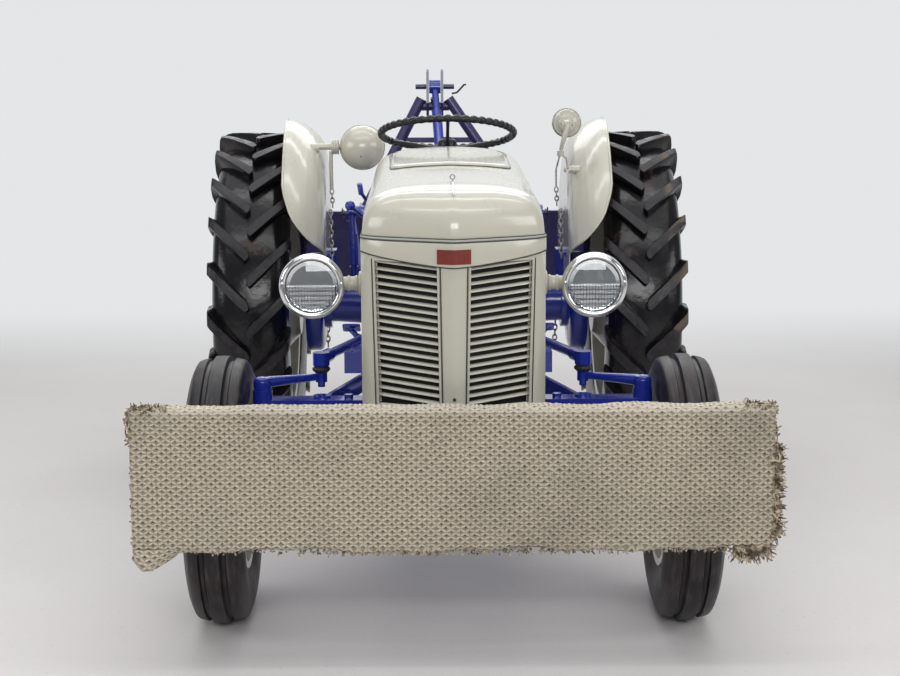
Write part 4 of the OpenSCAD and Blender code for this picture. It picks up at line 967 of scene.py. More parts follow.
class TRACTOR_OT_grille(bpy.types.Operator):
    """Grille shell, its top band, window frames, curved slats and bare badge"""
    bl_idname = "tractor.grille"
    bl_label = "Grille"

    def execute(self, context):
        b = body()
        self.shell(b)
        self.band(b)
        self.frames(b)
        self.slats(b)
        self.badge(b)
        return {"FINISHED"}

    def taper(self, x, z):
        """Both window edges draw in towards the bottom: x at height z of what lies at x on the top edge."""
        b = body()
        down = (b.window_hi - z) / (b.window_hi - b.window_lo)
        drawn = np.interp(np.abs(x), [0, b.window_in, b.window_out, b.hood_w / 2], [0, 0.006, 0.009, 0])
        return x - np.sign(x) * drawn * down

    def shell(self, b):
        """The shell's sheet: along its plan (front V, corner, side) and up z, with both windows left open."""
        half = b.hood_w / 2
        marks = [0, b.window_in, b.window_out, half]
        right = np.unique(np.concatenate([np.linspace(marks[i], marks[i + 1], k) for i,
                                          k in ((0, 4), (1, 14), (2, 15))]))
        front = np.concatenate([-right[::-1], right[1:]])
        plan = np.stack([front, nose_plan(front)], -1)
        sides = np.linspace(nose_plan(half), b.step_y - 0.006, 12)[1:]
        plan = np.concatenate([np.stack([np.full(11, -half), sides[::-1]], -1), plan,
                               np.stack([np.full(11, half), sides], -1)])
        z = np.unique(np.concatenate([[b.grille_z, b.window_lo, b.window_hi, b.seam_z - 0.0033],
                                      np.linspace(b.grille_z, b.seam_z - 0.0033, 12)]))
        m, n = len(z), len(plan)
        points = np.concatenate([np.broadcast_to(plan, (m, n, 2)), np.repeat(z[:, None, None], n, 1)], -1)
        faces = grid(m, n)
        mid = points.reshape(-1, 3)[faces].mean(1)
        on_front = (points[..., 1] <= nose_plan(half) + 1e-6)
        drawn = self.taper(points[..., 0], points[..., 2])
        points[..., 1] = np.where(on_front, nose_plan(drawn), points[..., 1])
        points[..., 0] = np.where(on_front, drawn, points[..., 0])
        hole = ((np.abs(mid[:, 0]) > b.window_in) & (np.abs(mid[:, 0]) < b.window_out)
                & (mid[:, 2] > b.window_lo) & (mid[:, 2] < b.window_hi) & (mid[:, 1] < -0.2))
        shape = Build().add(points, faces[~hole])
        ears = Build()
        for s in (-1, 1):
            lo = [min(s * 0.113, s * 0.118), nose_plan(0.118) + 0.001, 0.622]
            hi = [max(s * 0.113, s * 0.118), -0.258, 0.644]
            join(ears, rounded_box(lo, hi, 0.001))
        made = piece("grille_sheet", shape, [cream_enamel()], "bonnet", ["grille_shell"], 40)
        modifier(made, "SOLIDIFY", thickness=b.sheet, offset=-1)
        modifier(made, "BEVEL", width=0.0012, segments=2, limit_method="ANGLE", angle_limit=math.radians(50))
        piece("tilt_ears", ears, [cream_enamel()], "bonnet", ())

    def band(self, b):
        """Top band under the seam: an 8 mm raised strip, lowest in its middle, with a near-black tube along its
        lower edge as painted shadow.
        """
        half, n = b.hood_w / 2, 81
        x = np.linspace(-1, 1, n) * (half + 0.001)
        k = np.abs(x) / half
        low = 1.006 + 0.029 * k ** 1.5
        rows = []
        # Columns: share of the height, how far out
        for f, out in ((0.0, 0.0), (0.0, 0.0055), (0.03, 0.0075), (0.10, 0.0084), (0.5, 0.0070),
                       (0.93, 0.0052), (1.0, 0.0040), (1.0, 0.0)):
            z = low + (b.seam_z - 0.0064 - low) * f
            rows.append(np.stack([x, nose_plan(x) - out * (1 - 0.5 * k ** 8), z], -1))
        piece("nose_band", Build().add(np.array(rows), grid(len(rows), n)), [cream_enamel()], "bonnet", (),
              30)
        # Near-black tube along the band's lower edge: painted shadow line.
        edge = np.stack([x, nose_plan(x) - 0.0030, low - 0.0010], -1)
        piece("band_shadow_line", tube(edge, 0.0022, 8), [gap_shade()], "bonnet", ())

    def frames(self, b):
        """Window frames: a raised bead round each window, following the V, with a near-black tube outside it
        as painted shade of a groove.
        """
        shape, groove_shade_ring = Build(), Build()
        # The outer ring is a near-black tube: painted shade of a groove.
        for out, target, r in ((0.0, shape, 0.0032), (0.0055, groove_shade_ring, 0.0016)):
            x0, x1 = b.window_in - out, b.window_out + out
            z0, z1 = b.window_lo - out, b.window_hi + 0.004
            xs = np.linspace(x0, x1, 16)
            outline = np.concatenate([
                np.stack([xs, nose_plan(xs), np.full(16, z0)], -1),
                np.stack([np.full(12, x1), np.full(12, nose_plan(x1)), np.linspace(z0, z1, 12)], -1)[1:],
                np.stack([xs[::-1], nose_plan(xs[::-1]), np.full(16, z1)], -1)[1:],
                np.stack([np.full(12, x0), np.full(12, nose_plan(x0)), np.linspace(z1, z0, 12)], -1)[1:-1]])
            outline[:, 0] = self.taper(outline[:, 0], outline[:, 2])
            outline[:, 1] = nose_plan(outline[:, 0]) - 0.0008
            join(target, tube(outline, r, 8, closed=True))
        piece("window_frames", shape.both(), [cream_trim()], "bonnet", ())
        piece("window_groove_shade", groove_shade_ring.both(), [gap_shade()], "bonnet", ())

    def slats(self, b):
        """Slats: thin quarter-round strips, turned down in front, with dark gaps between them where a
        near-black sheet behind stands in as painted shade.
        """
        a = np.linspace(0, np.pi / 2, 9)
        outer = np.stack([0.0120 - 0.0125 * np.sin(a), -0.0040 + 0.0074 * np.cos(a)], -1)
        inner = np.stack([0.0125 - 0.0114 * np.sin(a), -0.0040 + 0.0062 * np.cos(a)], -1)[::-1]
        profile = np.concatenate([outer, inner])
        m = len(profile)
        shape = Build()
        for i in range(b.slats):
            z = b.window_hi + 0.001 - b.slat_step * i
            xs = self.taper(np.linspace(b.window_in - 0.001, b.window_out + 0.001, 10), z)
            back = nose_plan(xs) + 0.0065
            fall = z - 0.088 * (xs[-1] - xs)
            points = np.stack([np.repeat(xs[:, None], m, 1), back[:, None] + profile[None, :, 0],
                               fall[:, None] + profile[None, :, 1]], -1)
            shape.solid(points, bar(10, m))
        for x in (b.window_in - 0.002, b.window_out - 0.006):
            ends = [[self.taper(x, z), float(nose_plan(x)) + 0.020, z] for z in (b.window_lo, b.window_hi)]
            join(shape, tube(ends, 0.003, 6))
        piece("grille_slats", shape.both(), [cream_enamel()], "bonnet", ["grille_louvres"], 40)
        # A near-black sheet behind the slats: painted shade.
        dark = Build()
        xs = np.linspace(-0.21, 0.21, 30)
        points = np.stack([np.stack([xs, nose_plan(xs) + 0.026, np.full(30, z)], -1)
                           for z in (b.window_lo - 0.002, 1.02)])
        dark.add(points, grid(2, 30))
        made = piece("grille_shade_sheet", dark, [grille_painted_shade()], "bonnet", ())
        modifier(made, "SOLIDIFY", thickness=0.0015, offset=1)

    def badge(self, b):
        """Bare badge: a plate bent over the nose's middle, with a pale raised border and a red field."""
        x = np.linspace(-0.0485, 0.0485, 25)
        shape = Build()
        # Columns: bottom, top, how far out, finish, share of the width
        for z0, z1, out, kind, w in ((1.010, 1.055, 0.0092, 0, 0.97), (1.0142, 1.0510, 0.0102, 1, 0.88)):
            rows = []
            for f, o in ((0, -0.004), (0, 0.0), (1, 0.0), (1, -0.004)):
                rows.append(np.stack([x * w, nose_plan(x * w) - out - o, np.full(25, z0 + (z1 - z0) * f)],
                                     -1))
            points = np.array(rows)
            shape.solid(points.transpose(1, 0, 2), bar(25, 4), kind)
        # A small near-black disc low on the nose stands for a hole: painted shade.
        hole = lathe([[0.0001, 0.0], [0.0045, 0.0], [0.0045, 0.0018], [0.0001, 0.0018]],
                     np.array([0, -b.nose_y - 0.0002, 0.672]), [0, -1, 0], 20)
        join(shape, hole, 2)
        piece("nose_badge", shape, [cream_trim(), badge_red(), gap_shade()], "bonnet", (), 30)


class TRACTOR_OT_lamps(bpy.types.Operator):
    """Head lamps with chrome rims, mirrors and pressed glass, and the two rear lamps"""
    bl_idname = "tractor.lamps"
    bl_label = "Lamps"

    def execute(self, context):
        p = parts()
        r = p.lamp_r
        rim, bowl, mirror, glass = Build(), Build(), Build(), Build()
        at = np.array([p.lamp_x, p.lamp_y, p.lamp_z])
        front = np.array([0, -1.0, 0])
        ring = [[r - 0.019, 0.004], [r - 0.017, 0.0115], [r - 0.013, 0.0145], [r - 0.0085, 0.0150],
                [r - 0.0045, 0.0120], [r - 0.0015, 0.006], [r, -0.001], [r - 0.001, -0.006],
                [r - 0.004, -0.009], [r - 0.0075, -0.010], [r - 0.0095, -0.006], [r - 0.012, -0.002]]
        shell = [[r - 0.0085, -0.008], [r - 0.0105, -0.022], [r - 0.017, -0.042], [r - 0.030, -0.062],
                 [r - 0.047, -0.076], [0.016, -0.086], [POLE, -0.0875]]
        dish = [[r - 0.0195, 0.0035], [r - 0.024, -0.010], [r - 0.034, -0.026], [0.030, -0.038],
                [POLE, -0.043], [POLE, -0.045], [0.032, -0.040], [r - 0.032, -0.028], [r - 0.022, -0.012],
                [r - 0.0175, 0.0030]]
        bulb = [[POLE, -0.043], [0.006, -0.042], [0.007, -0.020], [0.012, -0.014], [0.012, -0.008],
                [POLE, -0.006]]
        screw = [[0.0045, -0.001], [0.0045, 0.0012], [0.003, 0.0024], [POLE, 0.0028]]
        for target, profile, seg in ((rim, ring, 80), (bowl, shell, 64), (mirror, dish, 64),
                                     (mirror, bulb, 24)):
            join(target, lathe(profile, at, front, seg))
        self.lens(glass, at, r - 0.0185)
        for a in (0.12, math.pi - 0.12):
            spot = at + [math.cos(a) * (r - 0.0085), -0.0148, math.sin(a) * (r - 0.0085)]
            join(rim, lathe(screw, spot, front, 12))
        join(bowl, self.stem(p))
        piece("head_lamp_rims", rim.both(), [chrome_rim()], "bonnet", (), 60)
        piece("head_lamp_mirrors", mirror.both(), [lamp_mirror()], "bonnet", (), 60)
        piece("head_lamp_glass", glass.both(), [lamp_glass()], "bonnet", (), 60)
        piece("head_lamp_bowls", bowl.both(), [cream_enamel()], "bonnet", ["head_lamps", "lamp_brackets"],
              40)
        self.rear()
        return {"FINISHED"}

    def lens(self, glass, at, r):
        """Lens: a shallow dome. Its lower half carries small square pillows, the upper half is clear.

        Depth is 0.009 (1 - (rho/r)^2) in front. Pillows below the middle line are 1.1 mm deep, and the step
        at the line is 0.6 mm.
        """
        n = 61
        # In radians a metre: one pillow every 6 mm
        waves = 520
        s = np.linspace(-1, 1, n)
        u, v = np.meshgrid(s, s, indexing="ij")
        x = u * np.sqrt(1 - v * v / 2) * r
        z = v * np.sqrt(1 - u * u / 2) * r
        rho2 = (x * x + z * z) / (r * r)
        below = (z < -0.001) * (rho2 < 0.93)
        wave = 0.0011 * (np.abs(np.sin(x * waves)) * np.abs(np.sin(z * waves))) * below
        step = 0.0006 * np.exp(-(z / 0.0012) ** 2)
        depth = 0.0045 + 0.009 * (1 - rho2) + wave + step * (rho2 < 0.9)
        outer = np.stack([at[0] + x, at[1] - depth, at[2] + z], -1)
        inner = np.stack([at[0] + x, at[1] - 0.0015 - 0.009 * (1 - rho2), at[2] + z], -1)
        glass.solid(np.concatenate([outer.reshape(-1, 3), inner.reshape(-1, 3)]), slab(n, n))

    def stem(self, p):
        """Ribbed neck from the shell's side to the bowl, with its flange."""
        x0 = body().hood_w / 2 + 0.0004
        x1 = p.lamp_x - 0.048
        y = p.lamp_y + 0.052
        k = np.linspace(0, 1, 41)
        ribs = 0.0185 + 0.0030 * np.maximum(0, np.sin(k * 2 * np.pi * 3.5)) - 0.0020 * k
        profile = [[POLE, 0.0], [0.031, 0.0], [0.032, 0.003], [0.031, 0.0075], [0.026, 0.0095]]
        profile += [[r, 0.010 + (x1 - x0 - 0.010) * q] for q, r in zip(k, ribs)]
        return lathe(profile + [[POLE, x1 - x0]], np.array([x0, y, p.lamp_z]), [1.0, 0, 0], 40)

    def rear(self):
        """Rear lamps: bowls backed to the front, glass and rim to the rear, stems to the mudguards."""
        back = np.array([0, 1.0, 0])
        right = np.array([-0.292, 1.560, 1.180])
        left = np.array([0.410, 1.450, 1.268])
        shape, chrome, glass = Build(), Build(), Build()
        screw = [[POLE, 0], [0.0035, 0], [0.0030, 0.002], [POLE, 0.003]]
        # The large lamp on the right
        a = np.linspace(0, np.pi / 2, 14)
        bowl = np.stack([0.0765 * np.sin(a), -0.0640 * np.cos(a)], -1)
        bowl[0, 0] = POLE
        lip = [[0.0745, 0.018], [0.0725, 0.018], [0.070, 0.0]]
        rim = [[0.0725, 0.016], [0.0785, 0.014], [0.0795, 0.021], [0.0770, 0.029], [0.0690, 0.031],
               [0.0675, 0.025]]
        cover = [[POLE, 0.034], [0.030, 0.033], [0.060, 0.029], [0.0685, 0.026], [0.0685, 0.022],
                 [POLE, 0.022]]
        join(shape, lathe(np.concatenate([bowl, lip]), right, back, 64))
        join(chrome, lathe(rim, right, back, 64))
        join(glass, lathe(cover, right, back, 48))
        k = np.linspace(0, 1, 61)
        socket = 0.0250 + 0.0030 * np.maximum(0, np.sin(k * 2 * np.pi * 3))
        neck = [[POLE, 0.0], [0.0150, 0.0], [0.0165, 0.004], [0.0165, 0.014], [0.0105, 0.016],
                [0.0105, 0.019]]
        neck += [[r, 0.020 + 0.026 * q] for q, r in zip(k, socket)]
        neck += [[0.0110, 0.0465], [0.0105, 0.0600], [0.0105, 0.088], [POLE, 0.088]]
        stem = [[-0.400, 1.553, 1.168], [-0.400, 1.550, 1.120], [-0.399, 1.549, 1.036]]
        join(shape, lathe(neck, right + [-0.0605, 0, 0.004], [-1.0, 0, 0], 36))
        join(shape, tube(stem, 0.0068, 10))
        join(chrome, lathe(screw, right + [-0.004, -0.0590, -0.026], [0, -1, -0.35], 12))
        # The small lamp on the left
        cup = [[POLE, -0.0250], [0.0240, -0.0245], [0.0285, -0.0215], [0.0300, -0.0120], [0.0360, -0.0095],
               [0.0450, -0.0080], [0.0465, 0.0], [0.0460, 0.010], [0.0460, 0.020], [POLE, 0.021]]
        rim = [[0.0440, 0.012], [0.0500, 0.008], [0.0505, 0.017], [0.0490, 0.023], [0.0450, 0.024],
               [0.0430, 0.018]]
        cover = [[POLE, 0.027], [0.030, 0.025], [0.0440, 0.021], [0.0440, 0.0212], [POLE, 0.0215]]
        join(shape, lathe(cup, left, back, 56))
        join(chrome, lathe(rim, left, back, 56))
        for x, z in ((-0.020, -0.002), (0.019, -0.006)):
            join(chrome, lathe(screw, left + [x, -0.0235, z], [0, -1, 0], 12))
        lens = lathe(cover, left, back, 40)
        arm = [left + [0.002, -0.024, -0.006], left + [-0.006, -0.032, -0.032], [0.392, 1.424, 1.192],
               [0.3885, 1.432, 1.172]]
        knuckle = [[POLE, 0], [0.0110, 0], [0.0120, 0.004], [0.0120, 0.020], [POLE, 0.024]]
        stem = [[0.3885, 1.434, 1.166], [0.410, 1.438, 1.150], [0.4155, 1.440, 1.112]]
        join(shape, tube(arm, [0.0085, 0.0095, 0.0075, 0.0065], 14))
        join(shape, lathe(knuckle, np.array([0.3885, 1.432, 1.156]), [0, 0, 1.0], 20))
        join(shape, tube(stem, 0.0050, 10))
        join(shape, pin(0.012, 0.010, [0.4155, 1.440, 1.110], [1.0, 0, 0], 20))
        join(shape, hex_head([0.406, 1.440, 1.110], [-1, 0, 0], 0.013, 0.006))
        piece("rear_lamp_bowls", shape, [cream_enamel()], "tractor", ["work_lamps"], 40)
        piece("rear_lamp_rims", chrome, [chrome_rim()], "tractor", (), 50)
        piece("rear_lamp_glass", glass, [lamp_glass()], "tractor", (), 50)
        piece("tail_lens", lens, [red_lens()], "tractor", (), 50)


def guard_profile(d):
    """Drop of the mudguard's crown below its radius, at a distance d from the inner plate: a smooth roll."""
    ds = np.array([0.0, 0.005, 0.014, 0.027, 0.042, 0.062, 0.082, 0.102, 0.117, 0.140])
    drop = np.array([0.150, 0.112, 0.084, 0.063, 0.047, 0.030, 0.017, 0.007, 0.002, 0.0])
    return np.interp(d, ds, drop)


class TRACTOR_OT_mudguards(bpy.types.Operator):
    """Smooth mudguards with a wired edge, inner plates and bolts"""
    bl_idname = "tractor.mudguards"
    bl_label = "Mudguards"

    def execute(self, context):
        b = body()
        left = self.guard(b)
        right = left.mirrored()
        join(left, pin(0.0135, 0.030, [0.426, 1.440, 1.110], [1.0, 0, 0], 24))
        join(right, pin(0.0145, 0.028, [-0.440, 1.560, 1.180], [-1.0, 0, 0], 24))
        join(left, right)
        piece("mudguard_skins", left, [cream_enamel()], "tractor", ["mudguards"], 50)
        bolts = Build()
        for y, z in ((-0.032, 0.165), (0.0, 0.178), (0.032, 0.165), (-0.25, 0.20), (0.25, 0.20)):
            at = self.turned(np.array([[-0.001, y, z]]), b)[0]
            join(bolts, hex_head(at, [-1, 0, 0], 0.016, 0.007))
        piece("mudguard_bolts", bolts.both(), [blue_enamel()], "tractor")
        return {"FINISHED"}

    def turned(self, points, b):
        """From the mudguard's own frame (inner plate x 0, rear axle y 0, z 0) into place, toed out."""
        spin = turn("Z", -b.guard_toe)
        return (np.asarray(points) + [0, 0.430, 0]) @ spin.T + [b.guard_x, REAR_Y - 0.430, REAR_R]

    def guard(self, b):
        """Crown: theta runs from the cut front corner to the rear, d across from the inner plate.

        Radius is guard_r - drop(d), and the front edge rises by asin(h(d) / radius) above the 26 degree tip,
        h being the corner's rounded cut. The plate is a fan between a flat lower edge and the crown.
        """
        w, t = b.guard_w, b.sheet
        d = w * (1 - np.cos(np.linspace(0, np.pi / 2, 40))) ** 0.9
        cut_d = w - np.array([0, 0.004, 0.010, 0.018, 0.025, 0.036, 0.050, 0.068, 0.085, 0.105, 0.125,
                              0.140])[::-1]
        cut_h = np.array([0.209, 0.180, 0.154, 0.126, 0.102, 0.078, 0.057, 0.036, 0.020, 0.008, 0.002,
                          0.0])[::-1]
        h = np.interp(d, cut_d, cut_h)
        r = b.guard_r - guard_profile(d)
        first = math.radians(26) + np.arcsin(h / r)
        k = np.linspace(0, 1, 90)
        theta = first[None, :] + (math.radians(155) - first[None, :]) * k[:, None]
        crown = np.stack([np.broadcast_to(d, theta.shape), -r * np.cos(theta), r * np.sin(theta)], -1)
        inner_r = r - t * 1.1 * np.clip(d / 0.05, 0.0, 1)
        inner_d = d + t * np.clip(1 - d / 0.06, 0, 1)
        under = np.stack([np.broadcast_to(inner_d, theta.shape), -inner_r * np.cos(theta),
                          inner_r * np.sin(theta)], -1)
        points = np.concatenate([crown.reshape(-1, 3), under.reshape(-1, 3)])
        shape = Build().solid(self.turned(points, b), slab(*theta.shape))
        edge = np.concatenate([crown[::-1, -1], crown[0, ::-1]])
        join(shape, tube(self.turned(edge, b), 0.0042, 8))
        self.plate(shape, b, t)
        return shape

    def plate(self, shape, b, t):
        """Inner plate: theta runs from 16 to 164 degrees, up from the lower edge or the axle's cut-out."""
        theta = np.radians(np.linspace(16.3, 163.7, 90))
        low = np.maximum(0.096 / np.sin(theta), 0.121)
        side = np.minimum(theta, np.pi - theta)
        slope = 0.734 * np.cos(side) - np.sin(side)
        high = np.minimum(np.where(slope > 0.05, 0.1462 / np.maximum(slope, 0.05), 9.0), 0.5115)
        high = np.maximum(high, low + 0.0005)
        k = np.linspace(0, 1, 8)
        rr = low[None, :] + (high - low)[None, :] * k[:, None]
        face = np.stack([np.zeros_like(rr), -rr * np.cos(theta), rr * np.sin(theta)], -1)
        points = np.concatenate([face.reshape(-1, 3), (face + [t, 0, 0]).reshape(-1, 3)])
        shape.solid(self.turned(points, b), slab(*rr.shape))


class TRACTOR_OT_tyres(bpy.types.Operator):
    """Three-rib front tyres and bar-lug rear tyres"""
    bl_idname = "tractor.tyres"
    bl_label = "Tyres"

    def execute(self, context):
        # Columns: end of the tractor, maker, finishes, middle of the left wheel, angle of smooth shading
        table = (("front", self.front, [rubber_front()], (FRONT_X, 0, FRONT_R), 40),
                 ("rear", self.rear, [rubber_rear(), lug_face()], (REAR_X, REAR_Y, REAR_R), 38))
        for end, make, finishes, middle, smooth in table:
            left = make()
            left.points = [q + middle for q in left.points]
            for side, shape in (("left", left), ("right", left.mirrored())):
                node = end + "_tyre_" + side
                piece(node + "_rubber", shape, finishes, end + "_wheel_" + side, [node], smooth)
        return {"FINISHED"}

    def front(self):
        """Front tyre, its axle along x: a middle rib, and on each side a groove, a shoulder rib, a wall."""
        half = [[0.203, 0.050], [0.206, 0.0585], [0.214, 0.0600], [0.222, 0.0640], [0.240, 0.0705],
                [0.262, 0.0765], [0.285, 0.0788], [0.305, 0.0780], [0.320, 0.0745], [0.328, 0.0705],
                [0.3315, 0.0700], [0.3360, 0.0680], [0.3415, 0.0655], [0.3475, 0.0610], [0.3520, 0.0500],
                [0.3540, 0.0390], [0.3545, 0.0365], [0.3520, 0.0345], [0.3465, 0.0330], [0.3455, 0.0240],
                [0.3470, 0.0220], [0.3580, 0.0195], [0.3605, 0.0175], [0.3612, 0.0080]]
        half = np.array(half) * [FRONT_R / 0.361, 1]
        profile = np.concatenate([half, half[::-1] * [1, -1],
                                  [[0.212, -0.044], [0.30, -0.060], [0.335, -0.040], [0.335, 0.040],
                                   [0.30, 0.060], [0.212, 0.044]]])
        return revolved(profile, 120)

    def rear(self):
        """Rear tyre, its axle along x: a carcass, then lugs that stand out of its crown and shoulders.

        The sidewall runs from radius 0.382 to 0.536: half width = 0.110 + 0.011 t + 0.052 t (1 - t).
        """
        t = np.linspace(0, 1, 10)
        wall = np.stack([0.382 + 0.154 * t, 0.110 + 0.011 * t + 0.052 * t * (1 - t)], -1)
        half = np.concatenate([[[0.356, 0.092], [0.358, 0.098], [0.374, 0.101]], wall,
                               [[0.552, 0.1130], [0.566, 0.0980], [0.5735, 0.0720], [0.5775, 0.0400],
                                [0.5785, 0.0]]])
        inner = [[0.366, -0.080], [0.52, -0.104], [0.548, -0.06], [0.548, 0.06], [0.52, 0.104],
                 [0.366, 0.080]]
        ring = np.concatenate([half, half[::-1][1:] * [1, -1], inner])
        shape = revolved(ring, 132)
        self.lugs(shape, parts().lugs)
        return shape

    def lugs(self, shape, count):
        """Lugs: rows from the inner end over the shoulder to the sidewall, columns round a straight bar.

        A point lies at radius r, turned about the axle by asin(way / r) from the lug's own place, where way
        is how far along the tread it lies. Inner ends start at the middle.
        """
        # Columns: x and radius of the top, x and radius of the foot
        rows = np.array([[-0.0040, 0.6055, -0.0040, 0.570], [-0.0030, 0.6090, -0.0035, 0.570],
                         [0.0040, 0.6100, 0.0040, 0.570], [0.0100, 0.6100, 0.0100, 0.570],
                         [0.0400, 0.6100, 0.0400, 0.568], [0.0750, 0.6098, 0.0720, 0.562],
                         [0.1050, 0.6095, 0.0960, 0.552], [0.1240, 0.6065, 0.1080, 0.540],
                         [0.1310, 0.6030, 0.1100, 0.536], [0.1350, 0.5950, 0.1120, 0.534],
                         [0.1382, 0.5700, 0.1130, 0.532], [0.1385, 0.5450, 0.1140, 0.526],
                         [0.1380, 0.5200, 0.1140, 0.512], [0.1335, 0.5030, 0.1150, 0.500],
                         [0.1280, 0.4920, 0.1160, 0.488]])
        ahead = np.interp(rows[:, 0], [-0.004, 0.006, 0.013, 0.141], [-0.003, -0.0165, -0.0125, 0.117])
        behind = np.interp(rows[:, 0], [-0.004, 0.002, 0.141], [0.011, 0.024, 0.155])
        # Section columns: share from foot (0) to top (1), side (-1 ahead, 1 behind), step in (mm)
        section = np.array([[0.0, -1, -4.5], [0.55, -1, -1.2], [0.93, -1, 0.0], [1.0, -1, 2.4], [1.004, 0, 0],
                            [1.0, 1, 2.4], [0.93, 1, 0.0], [0.55, 1, -1.2], [0.0, 1, -4.5]])
        share, which, step = section[None, :, 0], section[None, :, 1], section[None, :, 2] / 1000
        middle, reach = (ahead + behind)[:, None] / 2, (behind - ahead)[:, None] / 2
        way = middle + which * (reach - step)
        xs = rows[:, 2, None] + (rows[:, 0] - rows[:, 2])[:, None] * share
        radius = rows[:, 3, None] + (rows[:, 1] - rows[:, 3])[:, None] * share
        m, n = xs.shape
        faces = bar(m, n)
        # The worn face takes the second finish: section places 2 to 6
        worn = [int(len(f) == 4 and min(f) % n >= 2 and max(f) % n <= 6 and max(f) % n - min(f) % n == 1)
                for f in faces]
        for side, half_step in ((1, 0), (-1, 0.5)):
            for k in range(count):
                angle = np.arcsin(way / radius) - math.radians(2) - 2 * np.pi * (k + half_step) / count
                points = np.stack([side * xs, radius * np.sin(angle), radius * np.cos(angle)], -1)
                shape.solid(points, faces, worn)


def dressed(node, rides, finish, width=0.002):
    """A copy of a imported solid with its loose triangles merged, its edges rounded and a finish of its own."""
    source = frame["nodes"][node]
    mesh = source.data.copy()
    mesh.name = node + "_dressed"
    b = bmesh.new()
    b.from_mesh(mesh)
    bmesh.ops.remove_doubles(b, verts=b.verts, dist=2e-5)
    bmesh.ops.dissolve_degenerate(b, edges=b.edges, dist=1e-5)
    b.to_mesh(mesh)
    b.free()
    mesh.materials.clear()
    mesh.materials.append(finish)
    mesh.polygons.foreach_set("use_smooth", np.ones(len(mesh.polygons), bool))
    mesh.polygons.foreach_set("material_index", np.zeros(len(mesh.polygons), np.int32))
    mesh.set_sharp_from_angle(angle=math.radians(28))
    made = bpy.data.objects.new(node + "_dressed", mesh)
    bpy.context.scene.collection.objects.link(made)
    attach(made, rides)
    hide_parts(node)
    if width:
        modifier(made, "BEVEL", width=width, segments=2, limit_method="ANGLE", angle_limit=math.radians(40),
                 use_clamp_overlap=True)
        modifier(made, "WEIGHTED_NORMAL", keep_sharp=True)
    return made


class TRACTOR_OT_castings(bpy.types.Operator):
    """Painted castings, rods and linkage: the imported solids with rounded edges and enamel"""
    bl_idname = "tractor.castings"
    bl_label = "Castings"

    def execute(self, context):
        bodies = {n: name for name, nodes in frame["record"]["behaviour"]["bodies"].items() for n in nodes}
        finish = {"radiator": core_fins, "exhaust": burnt_pipe, "push_plank": board_wood, "blade": old_navy,
                  "blade_frame": old_navy, "fuel_tank": cream_trim, "dash_panel": cream_enamel}
        widths = {"exhaust": 0.0, "front_axle": 0.0025, "transmission": 0.004, "engine_block": 0.003,
                  "controls": 0.0, "seat_spring": 0.001, "radius_rods": 0.0015, "foot_plates": 0.001}
        castings = ("front_support", "front_axle", "radius_rods", "engine_block", "engine_fittings",
                    "radiator", "fuel_tank", "exhaust", "transmission", "rear_axle", "lift_cover",
                    "steering_box", "dash_panel", "seat_spring", "foot_plates", "controls", "push_frame",
                    "push_plank", "knuckle_left", "knuckle_right", "drop_arm_left", "drop_arm_right",
                    "drag_link_left", "drag_link_right", "lower_links", "lift_arms", "lift_rods", "top_link",
                    "blade_frame", "blade")
        for node in castings:
            dressed(node, bodies[node], finish.get(node, blue_enamel)(), widths.get(node, 0.002))
        for node in ("front_disc_left", "front_disc_right", "rear_disc_left", "rear_disc_right"):
            dressed(node, bodies[node], cream_trim(), 0.0012)
        self.bolts()
        return {"FINISHED"}

    def bolts(self):
        """Bolt heads in rows: clutch housing, cylinder head, sump, lift cover, brake drums and trumpets."""
        b = Build()
        for s in (-1, 1):
            for z in (0.47, 0.53, 0.60, 0.68, 0.74):
                join(b, hex_head([s * 0.133, 1.000 - 0.012, z], [0, -1, 0], 0.017))
                join(b, hex_head([s * 0.134, 1.440 + 0.012, z - 0.02], [0, 1, 0], 0.017))
            for y in np.linspace(0.235, 0.765, 6):
                join(b, hex_head([s * 0.080, y, 0.935], [0, 0, 1], 0.016))
            for y in np.linspace(0.25, 0.75, 7):
                join(b, hex_head([s * 0.118, y, 0.4425], [0, 0, -1], 0.013))
            for y in (1.66, 1.74, 1.82, 1.90):
                join(b, hex_head([s * 0.112, y, 0.850], [0, 0, 1], 0.017))
            for a in np.radians([20, 80, 140, 200, 260, 320]):
                y, z = math.cos(a), math.sin(a)
                join(b, hex_head([s * 0.457, REAR_Y + 0.163 * y, REAR_R + 0.163 * z], [-s, 0, 0], 0.014))
                join(b, hex_head([s * 0.184, REAR_Y + 0.125 * y, REAR_R + 0.125 * z], [s, 0, 0], 0.016))
        plug = [[POLE, 0], [0.013, 0], [0.013, 0.010], [0.008, 0.012], [POLE, 0.012]]
        for y in (0.300, 0.500, 0.700):
            join(b, lathe(plug, np.array([0, y, 0.988]), [0, 0, 1], 20))
        piece("casting_bolts", b, [blue_enamel()], "tractor")


